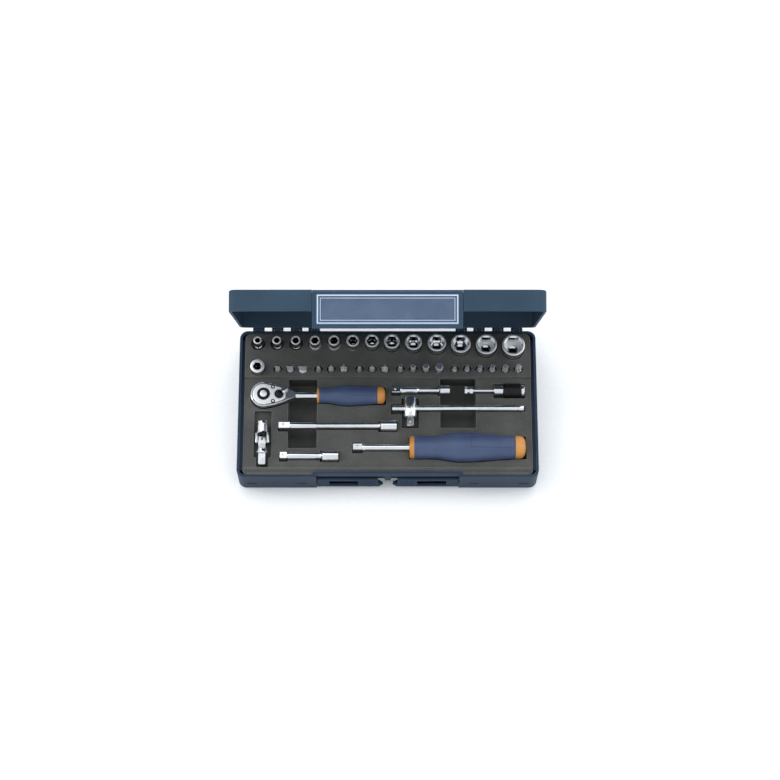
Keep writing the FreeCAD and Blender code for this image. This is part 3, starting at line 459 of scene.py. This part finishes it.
def curve_through(steps, count):
    """Steps resampled on a smooth curve through them, for a shape with a soft belly."""
    out = []
    for index in range(len(steps) - 1):
        before = steps[max(index - 1, 0)]
        here, there = steps[index], steps[index + 1]
        after = steps[min(index + 2, len(steps) - 1)]
        rise_in = (there[1] - before[1]) / max(there[0] - before[0], 1e-6) * (there[0] - here[0])
        rise_out = (after[1] - here[1]) / max(after[0] - here[0], 1e-6) * (there[0] - here[0])
        for part in range(count):
            t = part / count
            radius = ((2 * t ** 3 - 3 * t ** 2 + 1) * here[1] + (t ** 3 - 2 * t ** 2 + t) * rise_in
                      + (3 * t ** 2 - 2 * t ** 3) * there[1] + (t ** 3 - t ** 2) * rise_out)
            out.append((here[0] + (there[0] - here[0]) * t, radius))
    return out + [steps[-1]]


def block(low, high, edge=0.0, segments=2):
    """A box between two corners, its edges rounded."""
    bm = bmesh.new()
    middle = [(a + b) / 2 for a, b in zip(low, high)]
    size = [b - a for a, b in zip(low, high)]
    made = bmesh.ops.create_cube(bm, size=1.0)["verts"]
    bmesh.ops.scale(bm, vec=size, verts=made)
    bmesh.ops.translate(bm, vec=middle, verts=made)
    if edge:
        bmesh.ops.bevel(bm, geom=bm.edges[:], offset=edge, offset_type="OFFSET", segments=segments,
                        profile=0.5, affect="EDGES", material=-1)
    return bm


def ball(centre, radius, squash=(1, 1, 1)):
    """A ball, flattened by squash."""
    bm = bmesh.new()
    made = bmesh.ops.create_uvsphere(bm, u_segments=24, v_segments=12, radius=radius)["verts"]
    bmesh.ops.scale(bm, vec=squash, verts=made)
    bmesh.ops.translate(bm, vec=centre, verts=made)
    return bm


def stop_ball(x, y):
    """The spring ball that stands out of a drive square's upper flat."""
    return ball((x, y, AXIS + DRIVE / 2 - 0.35), 1.1)


def standing(x, y, z):
    """Leaves a shape's own +Z upright."""
    return Matrix.Translation((x, y, z))


def along_x(x, y, z=AXIS):
    """Turns a shape's own +Z to the right."""
    return Matrix.Translation((x, y, z)) @ Matrix.Rotation(math.pi / 2, 4, "Y")


def against_y(x, y, z=AXIS):
    """Turns a shape's own +Z to the front."""
    return Matrix.Translation((x, y, z)) @ Matrix.Rotation(math.pi / 2, 4, "X")


def moved(bm, place):
    bmesh.ops.transform(bm, matrix=place, verts=bm.verts)
    return bm


def joined(*shapes):
    """Several shapes in one bmesh. A shape may come with the number of its material."""
    whole = bmesh.new()
    for shape in shapes:
        bm, number = shape if isinstance(shape, tuple) else (shape, 0)
        for face in bm.faces:
            face.material_index = number
        mesh = bpy.data.meshes.new("part")
        bm.to_mesh(mesh)
        bm.free()
        whole.from_mesh(mesh)
        bpy.data.meshes.remove(mesh)
    return whole


def piece(name, bm, body, materials, node=None, sharp=32, choose=None):
    """Make a bmesh in mm a finished piece in metres: shaded, on its body, and in place of its CAD node."""
    bmesh.ops.scale(bm, vec=(MM, MM, MM), verts=bm.verts)
    limit = math.radians(sharp)
    for edge in bm.edges:
        edge.smooth = len(edge.link_faces) == 2 and edge.calc_face_angle(0) < limit
    for face in bm.faces:
        face.smooth = True
        if choose is not None:
            face.material_index = choose(face.calc_center_median() / MM, face.normal)
    mesh = bpy.data.meshes.new(name)
    bm.to_mesh(mesh)
    bm.free()
    for material in materials:
        mesh.materials.append(material)
    made = bpy.data.objects.new(name, mesh)
    bpy.context.scene.collection.objects.link(made)
    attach(made, body)
    if node:
        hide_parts(node)
    return made


def cad_copy(node, body, material, round_mm):
    """A CAD node's shape with its loose triangles merged and its sharp edges really rounded."""
    bm = bmesh.new()
    bm.from_mesh(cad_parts[node].data)
    bmesh.ops.remove_doubles(bm, verts=bm.verts, dist=1e-6)
    bmesh.ops.dissolve_limit(bm, angle_limit=math.radians(0.3), verts=bm.verts, edges=bm.edges)
    bmesh.ops.scale(bm, vec=(1 / MM, 1 / MM, 1 / MM), verts=bm.verts)
    made = piece(node + "_finished", bm, body, [material], node)
    rounding = made.modifiers.new("rounded_edges", "BEVEL")
    rounding.width = round_mm * MM
    rounding.segments = 2
    rounding.limit_method = "ANGLE"
    rounding.angle_limit = math.radians(30)
    rounding.use_clamp_overlap = False
    rounding.harden_normals = True


def in_lid(bm):
    """Turns a shape drawn on the shut lid to where the open lid holds it."""
    return moved(bm, Matrix.Translation(HINGE) @ Matrix.Rotation(math.radians(-LID_OPEN), 4, "X")
                 @ Matrix.Translation(-HINGE))


# ---------------------------------------------------------------- case and inserts

cad_copy("base_shell", "case", CASE, 0.35)
cad_copy("lid_shell", "lid", LID, 0.35)
cad_copy("flap_frame", "flap", FLAP, 0.4)
cad_copy("latch_left", "left_latch", LATCH, 0.3)
cad_copy("latch_right", "right_latch", LATCH, 0.3)
for node, material, slot in (("rack_insert", INSERT, "insert_foam"), ("tool_insert", INSERT, "insert_foam"),
                             ("hinge_pins", PIN, "pin_steel"), ("latch_pins", PIN, "pin_steel"),
                             ("flap_pins", PIN, "pin_steel")):
    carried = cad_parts[node]
    carried.data.materials.clear()
    carried.data.materials.append(material)


def window():
    """The clear pane, chamfered all round, with a fine groove inside the chamfer, and the card behind it."""
    pane = block((-57.45, -66.5, 21.85), (57.45, -65.4, 45.85))
    for face in pane.faces:
        face.material_index = 0 if abs(face.normal.y) > 0.9 else 1
    front = [face for face in pane.faces if face.normal.y < -0.9]
    # width in from the edge and how far forward, in mm; the chamfer and the groove are the bright lines
    for wide, forward, bright in ((1.2, 0.4, 1), (1.5, 0.0, 0), (0.25, -0.2, 1), (0.25, 0.2, 1)):
        grown = bmesh.ops.inset_region(pane, faces=front, thickness=wide, depth=forward, use_even_offset=True)
        for face in grown["faces"]:
            face.material_index = bright
    piece("window_pane", in_lid(pane), "flap", [WINDOW, WINDOW_EDGE], "flap_window", sharp=10)
    card = block((-55.8, -65.38, 23.5), (55.8, -64.75, 44.3), 0.1, 1)
    piece("window_card", in_lid(card), "flap", [CARD])


window()


# ---------------------------------------------------------------- sockets, adapter and bits

# name, across the hexagon's flats, outside diameter, x and y, in mm
SOCKETS = [
    ("4", 4.0, 7.2, -113.4, 55.5), ("4_5", 4.5, 7.8, -96.7, 55.5), ("5", 5.0, 8.4, -80.2, 55.4),
    ("5_5", 5.5, 9.0, -63.5, 55.4), ("6", 6.0, 9.7, -46.9, 55.3), ("7", 7.0, 11.2, -30.4, 55.1),
    ("8", 8.0, 12.2, -13.7, 54.9), ("9", 9.0, 13.6, 3.6, 54.4), ("10", 10.0, 14.7, 22.4, 53.8),
    ("11", 11.0, 16.1, 42.8, 53.2), ("12", 12.0, 17.2, 63.6, 52.4), ("13", 13.0, 18.4, 85.8, 51.6),
    ("14", 14.0, 19.8, 109.4, 50.8),
]


def socket(name, across, outside, x, y, low, body):
    """A hexagon socket that stands on low, its drive square below and its hexagon above."""
    length = SOCKET_LENGTH
    lower = max(12.0, outside - 2.6) / 2
    top = outside / 2
    step = length * (0.62 if outside < 12.0 else 0.5)
    rise = abs(top - lower)
    half = across / 2 + 0.05
    depth = length - (5 + 0.5 * across)
    link = min(across / 2 - 0.1, 4.4)
    lead = min(half / math.cos(math.pi / 6) + 0.15, top - 0.75)
    stack = [
        (0, lower - 0.5, circle), (0.15, lower - 0.15, circle), (0.5, lower, circle),
        (2.6, lower, circle), (2.8, lower - 0.25, circle), (3.6, lower - 0.25, circle),
        (3.8, lower, circle), (step - rise - 0.3, lower, circle), (step - rise, lower - 0.06, circle),
        (step, top - 0.06, circle), (step + 0.3, top, circle), (length - 0.5, top, circle),
        (length - 0.3, top - 0.05, circle), (length - 0.12, top - 0.18, circle),
        (length, top - 0.45, circle), (length, lead + 0.1, circle),
        (length - 0.1, lead, circle), (length - 1.1, half, HEXAGON), (depth, half, HEXAGON),
        (depth - 0.7, link, circle), (8.5, link, circle), (8.5, DRIVE_HOLE / 2, SQUARE),
        (0.6, DRIVE_HOLE / 2, SQUARE), (0, DRIVE_HOLE / 2 + 0.5, SQUARE), (0, lower - 0.5, circle),
    ]

    # the upward rim and shoulder take the painted highlight
    def choose(centre, normal):
        height = centre.z - low
        shoulder = abs(height - step) < 0.8 and normal.z > 0.3
        return 1 if shoulder or (height > length - 0.6 and normal.z > 0.1) else 0
    piece(name + "_finished", moved(rings(stack, True), standing(x, y, low)), body,
          [CHROME, PAINTED_HIGHLIGHT_RIM], name, choose=choose)


for size, across, outside, x, y in SOCKETS:
    socket(f"socket_{size}mm", across, outside, x, y, SOCKET_LOW, f"socket_{size}mm_body")
socket("bit_adapter", 6.35, 12.4, -113.2, 32.2, BIT_LOW, "adapter")

# x and width of each bit's tip, in mm
BITS = {
    "slotted": [(-95.8, 4.0), (-84.9, 5.5), (-73.9, 7.0)],
    "cross": [(-60.2, 3.0), (-49.2, 4.5), (-38.3, 6.0)],
    "ribbed_cross": [(-24.6, 3.0), (-13.6, 4.5), (-2.6, 6.0)],
    "hex": [(11.0, 3.0), (22.0, 4.0), (33.2, 5.0), (44.8, 6.0)],
    "six_lobe": [(58.1, 2.8), (69.1, 3.3), (80.1, 3.9), (91.0, 4.4), (102.3, 5.0), (113.7, 5.5)],
}


def bit(kind, x, width):
    """A bit of 25 mm that stands on its hexagon shank."""
    half = width / 2
    neck = max(half, 1.6)
    shank = SHANK / 2
    stack = [(0, shank - 0.5, HEXAGON), (0.5, shank, HEXAGON), (9.0, shank, HEXAGON),
             (9.4, shank - 0.35, circle), (11.4, shank - 0.35, circle), (11.8, shank, HEXAGON),
             (14.5, shank, HEXAGON), (15.0, 3.1, circle), (17.5, neck, circle)]
    if kind == "slotted":
        stack += [(18.6, 1.9, circle), (20.6, 1.0, blade(half * 0.96, 1.1)), (22.0, 1.0, blade(half, 0.62)),
                  (24.9, 1.0, blade(half, 0.5)), (25, 1.0, blade(half - 0.1, 0.42))]
    elif kind in ("cross", "ribbed_cross"):
        wings = CROSS if kind == "cross" else RIBBED_CROSS
        stack += [(18.6, half, circle), (20.4, half, wings), (25 - half, half, wings),
                  (24.7, 0.8, wings), (25, 0.45, wings)]
    elif kind == "hex":
        flat = half - 0.1
        stack += [(17.7, flat, HEXAGON), (24.6, flat, HEXAGON), (25, flat - 0.35, HEXAGON)]
    else:
        stack += [(17.7, half, SIX_LOBES), (24.6, half, SIX_LOBES), (25, half - 0.3, SIX_LOBES)]
    return moved(rings(stack), standing(x, 31.6, BIT_LOW))


for kind, row in BITS.items():
    piece(f"{kind}_bits_finished", joined(*[bit(kind, x, width) for x, width in row]), f"{kind}_set",
          [BIT, TIP], f"{kind}_bits", sharp=28,
          choose=lambda centre, normal: 1 if centre.z > BIT_LOW + 24.8 else 0)


# ---------------------------------------------------------------- ratchet

RATCHET_X, RATCHET_Y = -107.4, 7.2
COVER_TOP = 35.8
RING, BUTTON = 5.6, 3.1  # radii of the black ring and of the bright button in it
HEAD_RADIUS, COVER_RADIUS, HEAD_BORE = 11.3, 9.3, 5.06
GRIP_BORE = 3.42
# points on the edges of the neck and of the cover: distance from the head's centre, half width
NECK = [(2.5, 11.0), (10.0, 9.4), (17.5, 6.8), (23.0, 4.4), (28.0, 3.0), (28.0, 0.0)]
COVER = [(1.0, 8.8), (9.0, 7.6), (16.0, 5.4), (19.0, 3.0), (19.0, 0.0)]


def head_edge(radius, edge, inset):
    """The head's outline: a circle and a neck through the points of edge, both drawn in by inset."""
    def distance(angle):
        across, along = math.cos(angle), abs(math.sin(angle))
        reach = radius
        for (x0, y0), (x1, y1) in zip(edge, edge[1:]):
            turn = across * (y1 - y0) - along * (x1 - x0)
            if abs(turn) < 1e-9:
                continue
            out = (x0 * (y1 - y0) - y0 * (x1 - x0)) / turn
            part = (x0 * along - y0 * across) / turn
            if out > 0 and -1e-6 <= part <= 1 + 1e-6:
                reach = max(reach, out)
        return reach - inset
    return polar(distance)


def ratchet():
    """The reversible ratchet, its head's underside down in the tray."""
    x, y = RATCHET_X, RATCHET_Y

    def head_line(inset):
        return head_edge(HEAD_RADIUS, NECK, inset)

    def cover_line(inset):
        return head_edge(COVER_RADIUS, COVER, inset)

    head = rings([
        (25.6, 1.0, head_line(0.9)), (25.85, 1.0, head_line(0.3)), (26.5, 1.0, head_line(0.0)),
        (33.9, 1.0, head_line(0.0)), (34.45, 1.0, head_line(0.25)), (34.8, 1.0, head_line(0.8)),
        (34.8, 1.0, head_line(1.05)), (34.8, HEAD_BORE, circle), (25.6, HEAD_BORE, circle),
        (25.6, 1.0, head_line(0.9))], True)
    waist = curve_through([(0, 3.4), (6, 3.0), (18, 2.9), (26, 3.4), (36, 3.4)], 4)
    shaft = lathe([(0, 2.9), (0, 3.4)] + waist[1:] + [(36, 1.0)], 48)
    piece("ratchet_body_finished", joined(moved(head, standing(x, y, 0)), moved(shaft, along_x(x + 25.5, y))),
          "ratchet", [SATIN_X], "ratchet_body")
    cover = rings([
        (34.8, 1.0, cover_line(0.0)), (35.5, 1.0, cover_line(0.0)), (35.72, 1.0, cover_line(0.12)),
        (COVER_TOP, 1.0, cover_line(0.4)), (COVER_TOP, 1.0, cover_line(0.6)),
        (COVER_TOP, HEAD_BORE, circle), (34.8, HEAD_BORE, circle), (34.8, 1.0, cover_line(0.0))], True)
    # the cover takes the painted highlight
    piece("ratchet_cover_finished", moved(cover, standing(x, y, 0)), "ratchet", [PAINTED_HIGHLIGHT_RIM],
          "ratchet_cover")
    screws = [moved(lathe([(34.9, 1.9), (35.75, 1.9), (35.92, 1.65), (35.92, 0.9), (35.5, 0.8)], 36),
                    standing(x + along, y + across, 0)) for along, across in ((8.0, 6.4), (8.2, -6.6))]
    piece("ratchet_screws_finished", joined(*screws), "ratchet", [BLACK], "ratchet_screws")
    spindle = lathe([(24.5, 0.0), (24.5, 6.9), (25.35, 6.9), (25.4, 4.98), (COVER_TOP + 0.04, 4.98),
                     (COVER_TOP + 0.04, RING), (COVER_TOP + 0.2, RING), (COVER_TOP + 0.38, RING - 0.2),
                     (COVER_TOP + 0.38, BUTTON + 0.3), (COVER_TOP + 0.2, BUTTON + 0.08),
                     (COVER_TOP - 4.0, BUTTON + 0.08), (COVER_TOP - 4.0, 0.0)])
    square = rings([(17.1, DRIVE / 2 - 0.55, DRIVE_SQUARE), (17.6, DRIVE / 2, DRIVE_SQUARE),
                    (24.5, DRIVE / 2, DRIVE_SQUARE)])
    piece("ratchet_drive_finished", moved(joined(spindle, square), standing(x, y, 0)), "ratchet_spindle",
          [BLACK], "ratchet_drive")
    hub = lathe([(0, 3.6), (0.2, 3.9), (1.1, 3.9), (1.6, 3.4), (1.6, 2.2), (2.0, 2.1), (2.2, 1.7)], 48)
    tab = block((0.8, -2.1, 0.0), (9.0, 2.1, 1.6), 0.7, 3)
    bmesh.ops.rotate(tab, verts=tab.verts, cent=(0, 0, 0), matrix=Matrix.Rotation(math.radians(42), 3, "Z"))
    lever = moved(joined((hub, 1), (tab, 0)), standing(x + 13.4, y - 0.4, 36.0))
    piece("ratchet_lever_finished", lever, "reversing_lever", [SATIN_X, BLACK],
          "ratchet_lever")
    button = lathe([(0, BUTTON), (3.0, BUTTON), (3.25, BUTTON - 0.1), (3.5, BUTTON - 0.35),
                    (3.65, BUTTON - 0.7), (3.7, BUTTON - 1.2)])
    # the button takes the painted highlight
    piece("ratchet_button_finished", moved(button, standing(x, y, 33.6)), "release_button",
          [PAINTED_HIGHLIGHT_RIM], "ratchet_button", sharp=50)
    collar_at, grip_at, cap_at = x + 46.3, x + 48.1, x + 98.4
    collar = lathe([(0, GRIP_BORE), (0, 6.2), (0.15, 6.45), (0.4, 6.6), (1.6, 6.6), (1.8, 6.4),
                    (1.8, GRIP_BORE), (0, GRIP_BORE)])
    piece("ratchet_collar_finished", moved(collar, along_x(collar_at, y)), "ratchet",
          [ORANGE], "ratchet_collar", sharp=50)
    steps = [(0, 6.7), (8, 6.8), (14, 7.9), (19, 8.85), (25, 9.15), (32, 8.85), (42, 8.05), (50.3, 7.4)]
    grip = lathe([(0, GRIP_BORE), (0, 6.3), (0.4, 6.65)] + curve_through(steps, 5)[1:-1]
                 + [(49.9, 7.4), (50.3, 7.0)])
    piece("ratchet_grip_finished", moved(grip, along_x(grip_at, y)), "ratchet",
          [RATCHET_GRIP], "ratchet_grip", sharp=50)
    cap = lathe([(0, 7.0), (0.25, 7.35), (3.4, 7.35), (4.4, 7.1), (5.2, 6.55), (5.9, 5.7), (6.4, 4.9),
                 (6.75, 3.6), (6.9, 2.0)])
    piece("ratchet_cap_finished", moved(cap, along_x(cap_at, y)), "ratchet",
          [ORANGE], "ratchet_cap", sharp=50)


ratchet()


# ---------------------------------------------------------------- driver, sliding handle, joint

def driver():
    """The spinner handle: shaft with its square, collar, grip and cap, from left to right."""
    y = -40.1
    shaft_at, collar_at, grip_at, cap_at = -30.1, 18.7, 22.7, 109.4
    square_end = -21.8
    bore = 2.87
    half = DRIVE / 2
    shaft = rings([
        (0, half - 0.55, DRIVE_SQUARE), (0.5, half, DRIVE_SQUARE), (8.2, half, DRIVE_SQUARE),
        (8.4, 3.1, circle), (9.1, 3.4, circle), (10.4, 3.35, circle), (11.3, 2.9, circle),
        (11.6, 2.85, circle), (68.2, 2.85, circle)])
    # the square's upper flats take the painted shade
    piece("driver_shaft_finished", joined(moved(shaft, along_x(shaft_at, y)), stop_ball(-26.2, y)),
          "driver", [SATIN_X, SHADED_CHROME_FLATS], "driver_shaft",
          choose=lambda centre, normal: int(centre.x < square_end and normal.z > FACING_UP))
    collar = lathe([(0, bore), (0, 8.3), (0.2, 8.8), (0.8, 9.5), (1.8, 9.8), (3.4, 9.85), (4.0, 9.75),
                    (4.0, bore), (0, bore)])
    piece("driver_collar_finished", moved(collar, along_x(collar_at, y)), "driver",
          [ORANGE], "driver_collar", sharp=50)
    steps = [(0, 10.15), (12, 9.85), (20, 10.05), (27, 11.35), (34, 12.5), (42, 12.85), (56, 12.25),
             (72, 10.85), (86.7, 9.8)]
    grip = lathe([(0, bore), (0, 9.75), (0.4, 10.15)] + curve_through(steps, 6)[1:-1]
                 + [(86.3, 9.8), (86.7, 9.4)])
    piece("driver_grip_finished", moved(grip, along_x(grip_at, y)), "driver",
          [DRIVER_GRIP], "driver_grip", sharp=50)
    cap = lathe([(0, 9.4), (0.3, 9.85), (4.0, 9.85), (5.4, 9.5), (6.6, 8.8), (7.6, 7.8), (8.4, 6.5),
                 (8.9, 4.8), (9.1, 2.6)])
    piece("driver_cap_finished", moved(cap, along_x(cap_at, y)), "driver",
          [ORANGE], "driver_cap", sharp=50)


def sliding_handle():
    """The sliding T handle: a bar through a head that carries the square."""
    x, y = 19.4, -4.6
    bar = lathe([(0, 1.2), (0.15, 1.8), (0.6, 2.5), (1.0, 2.6), (5.0, 2.6), (5.2, 2.2), (6.2, 2.2),
                 (6.4, 2.6), (108.2, 2.6), (108.4, 2.2), (109.4, 2.2), (109.6, 2.6), (113.6, 2.6),
                 (114.0, 2.5), (114.45, 1.8), (114.6, 1.2)], 48)
    piece("tee_bar_finished", moved(bar, along_x(3.4, y)), "tee_handle", [SATIN_X], "tee_bar")
    half = DRIVE / 2
    head = rings([
        (0, 5.2, circle), (0.15, 5.5, circle), (0.6, 5.75, circle), (17.3, 5.75, circle),
        (17.75, 5.5, circle), (17.9, 5.2, circle), (17.9, half + 0.4, circle),
        (18.1, half, DRIVE_SQUARE), (25.5, half, DRIVE_SQUARE), (26.0, half - 0.55, DRIVE_SQUARE)])
    bar_ball = ball((x, y, AXIS + 5.35), 1.5, (1, 1, 0.25))
    parts = joined(moved(head, against_y(x, y + 9.2)), stop_ball(x, y - 13.2), bar_ball)
    # the square's upper flats take the painted shade
    piece("tee_head_finished", parts, "tee_slider", [SATIN_Y, SHADED_CHROME_FLATS], "tee_head",
          choose=lambda centre, normal: int(centre.y < y - 8.9 and normal.z > FACING_UP))


def joint():
    """The universal joint: a fork with the drive hole, a cross, and a fork with the square."""
    x, y = -107.8, -34.5
    ear_end = -27.6
    half = DRIVE / 2

    # upper flats, which take the painted shade
    def flat(centre, normal):
        return int(normal.z > FLAT_UP)

    barrel = rings([
        (0, 4.5, circle), (0.15, 4.75, circle), (0.5, 4.9, circle), (2.4, 4.9, circle), (2.6, 4.65, circle),
        (3.4, 4.65, circle), (3.6, 4.9, circle), (9.3, 4.9, circle), (10.0, 5.7, circle), (10.9, 5.8, circle),
        (10.9, half - 0.4, circle), (9.4, half - 0.4, circle), (9.3, DRIVE_HOLE / 2, SQUARE),
        (0.5, DRIVE_HOLE / 2, SQUARE), (0, DRIVE_HOLE / 2 + 0.45, SQUARE), (0, 4.5, circle)], True)
    ears = [block((x + side, y - 2.4, AXIS - 3.2), (x + side + 2.4, ear_end, AXIS + 3.2), 0.7, 3)
            for side in (-6, 3.6)]
    piece("joint_socket_finished", joined(moved(barrel, against_y(x, -17.2)), *ears), "joint_fork",
          [SATIN_Y, SHADED_CHROME_FLATS], "joint_socket",
          choose=lambda centre, normal: int(centre.y < ear_end and normal.z > FLAT_UP))
    cross = block((x - 3.2, y - 3.1, AXIS - 3.2), (x + 3.2, y + 3.1, AXIS + 3.2), 0.5, 3)
    pins = [moved(lathe([(0, 0.8), (0.2, 1.15), (11.8, 1.15), (12.0, 0.8)], 32), along_x(x - 6.0, y)),
            moved(lathe([(0, 0.8), (0.2, 1.15), (11.0, 1.15), (11.2, 0.8)], 32), standing(x, y, AXIS - 5.6))]
    piece("joint_cross_finished", joined(cross, *pins), "joint_centre", [SATIN_Y, SHADED_CHROME_FLATS],
          "joint_cross", choose=flat)
    tines = [block((x - 3.0, y - 5.4, AXIS + low), (x + 3.0, y + 2.8, AXIS + low + 2.1), 0.5, 3)
             for low in (-5.6, 3.5)]
    bridge = block((x - 3.0, y - 6.8, AXIS - 5.6), (x + 3.0, y - 4.6, AXIS + 5.6), 0.5, 3)
    neck = rings([
        (0, 4.3, circle), (1.0, 4.4, circle), (3.0, 5.1, circle), (3.5, 5.3, circle), (4.5, 5.3, circle),
        (4.9, 4.9, circle), (5.0, half + 0.3, circle), (5.1, half, DRIVE_SQUARE), (14.5, half, DRIVE_SQUARE),
        (15.0, half - 0.55, DRIVE_SQUARE)])
    parts = joined(*tines, bridge, moved(neck, against_y(x, y - 6.6)), stop_ball(x, y - 17.6))
    piece("joint_drive_finished", parts, "joint_square", [SATIN_Y, SHADED_CHROME_FLATS], "joint_drive",
          choose=lambda centre, normal: int(normal.z > FLAT_UP and not y - 11.6 < centre.y < y - 6.9))


driver()
sliding_handle()
joint()


# ---------------------------------------------------------------- extensions and bit holder

def extension(name, y, x_square, x_thick, x_slim, x_end, x_last, radii, hexagon=False):
    """An extension along X. Its square, thick part, slim part and holed end start at the x values in turn.

    It ends at x_last, and radii are those of its three round parts.
    """
    thick, slim, end = radii
    half = DRIVE / 2
    at = [value - x_square for value in (x_thick, x_slim, x_end, x_last)]
    shape = HEXAGON if hexagon else SQUARE
    depth = 7.4 if hexagon else 8.4
    stack = [
        (0, half - 0.55, DRIVE_SQUARE), (0.5, half, DRIVE_SQUARE), (at[0] - 0.1, half, DRIVE_SQUARE),
        (at[0], thick - 0.45, circle), (at[0] + 0.6, thick, circle), (at[1] - 1.2, thick, circle),
        (at[1], slim, circle), (at[2] - 1.9, slim, circle), (at[2] - 1.3, slim + 0.25, circle),
        (at[2] - 0.25, end - 0.25, circle), (at[2], end, circle)]
    if name == "long_extension":
        stack += [(at[2] + 2.2, end, circle), (at[2] + 2.4, end - 0.2, circle),
                  (at[2] + 3.2, end - 0.2, circle), (at[2] + 3.4, end, circle)]
    stack += [
        (at[3] - 0.5, end, circle), (at[3] - 0.15, end - 0.15, circle), (at[3], end - 0.4, circle),
        (at[3], END_HOLE + 0.45, shape), (at[3] - 0.45, END_HOLE, shape), (at[3] - depth, END_HOLE, shape),
        (at[3] - depth - 0.4, 1.2, circle)]
    parts = joined(moved(rings(stack), along_x(x_square, y)), stop_ball(x_square + at[0] * 0.42, y))
    # the square's upper flats take the painted shade
    piece(name + "_finished", parts, name + "_body", [SATIN_X, SHADED_CHROME_FLATS], name,
          choose=lambda centre, normal: int(centre.x < x_thick - 0.1 and normal.z > FACING_UP))


extension("long_extension", -20.4, -94.3, -84.3, -61.2, -5.7, 7.7, (3.2, 2.5, 4.9))
extension("short_extension", -47.7, -92.8, -86.5, -61.3, -55.8, -42.3, (3.2, 2.8, 4.9))
extension("bit_extension", 12.2, 3.4, 10.8, 26.8, 45.6, 53.8, (3.2, 2.3, 4.4), True)


def holder():
    """The quick-change bit holder: a shank and body in one, and the sleeve that slides on it."""
    y = 11.8
    shank = 3.2
    stack = [
        (0, shank - 0.45, HEXAGON), (0.4, shank, HEXAGON), (2.6, shank, HEXAGON), (2.9, shank - 0.3, circle),
        (4.5, shank - 0.3, circle), (4.8, shank, HEXAGON), (7.3, shank, HEXAGON), (7.5, 1.7, circle),
        (7.9, 1.6, circle), (25.8, 1.6, circle), (25.9, 3.9, circle), (26.2, 4.15, circle),
        (33.1, 4.15, circle), (33.3, 4.55, circle), (49.3, 4.55, circle), (49.5, 5.1, circle),
        (50.0, 5.2, circle), (51.6, 5.2, circle), (52.0, 4.8, circle), (52.0, 3.7, HEXAGON),
        (51.6, END_HOLE, HEXAGON), (42.0, END_HOLE, HEXAGON), (41.6, 1.2, circle)]
    piece("holder_body_finished", moved(rings(stack), along_x(66.4, y)), "bit_holder",
          [SATIN_X], "holder_body")
    sleeve = lathe([(0, 4.6), (0, 5.4), (0.25, 5.85), (0.8, 6.2), (2.6, 6.2), (2.8, 5.95), (3.3, 5.95),
                    (3.5, 6.2), (12.3, 6.2), (12.5, 5.95), (13.0, 5.95), (13.2, 6.2), (15.0, 6.2),
                    (15.55, 5.85), (15.8, 5.4), (15.8, 4.6), (0, 4.6)])
    piece("holder_sleeve_finished", moved(sleeve, along_x(99.8, y)), "quick_sleeve",
          [BLACK], "holder_sleeve")


holder()


# ---------------------------------------------------------------- floor, light and camera

floor_mesh = bpy.data.meshes.new("floor")
sheet = bmesh.new()
bmesh.ops.create_grid(sheet, x_segments=1, y_segments=1, size=4.0)
sheet.to_mesh(floor_mesh)
sheet.free()
floor_mesh.materials.append(studio_floor())
floor = bpy.data.objects.new("floor", floor_mesh)
bpy.context.scene.collection.objects.link(floor)


def soft_box(name, place, aim, width, depth, power):
    """A soft box light that faces a point."""
    data = bpy.data.lights.new(name, "AREA")
    data.shape = "RECTANGLE"
    data.size = width
    data.size_y = depth
    data.energy = power
    light = bpy.data.objects.new(name, data)
    light.location = place
    light.rotation_euler = (Vector(aim) - Vector(place)).to_track_quat("-Z", "Y").to_euler()
    bpy.context.scene.collection.objects.link(light)


soft_box("overhead", (0.0, 0.62, 1.45), (0, 0, 0.02), 2.4, 1.1, 8)
soft_box("left_strip", (-1.1, 0.1, 0.9), (0, 0, 0.02), 0.35, 1.2, 5)
soft_box("right_strip", (1.2, 0.1, 0.8), (0, 0, 0.02), 0.3, 1.0, 3)
soft_box("rear_strip", (0.0, 1.2, 0.9), (0, 0, 0.03), 1.6, 0.25, 4)

world = bpy.data.worlds.new("studio")
world.use_nodes = True
bpy.context.scene.world = world
backing = world.node_tree.nodes["Background"]
backing.inputs["Color"].default_value = (0.9, 0.95, 1.0, 1.0)
backing.inputs["Strength"].default_value = 1.0

camera_data = bpy.data.cameras.new("camera")
camera_data.lens = 92.3
camera_data.sensor_width = 36.0
camera_data.clip_end = 20.0
camera = bpy.data.objects.new("camera", camera_data)
aim_x, aim_y, back, height = 1.95, 23.6, 604.7, 1661.4  # mm
camera_at = Vector((aim_x * MM, (aim_y - back) * MM, height * MM))
look_at = Vector((aim_x * MM, aim_y * MM, 0.0))
camera.location = camera_at
camera.rotation_euler = (look_at - camera_at).to_track_quat("-Z", "Y").to_euler()
bpy.context.scene.collection.objects.link(camera)
bpy.context.scene.camera = camera
bpy.context.scene.view_settings.view_transform = "Standard"
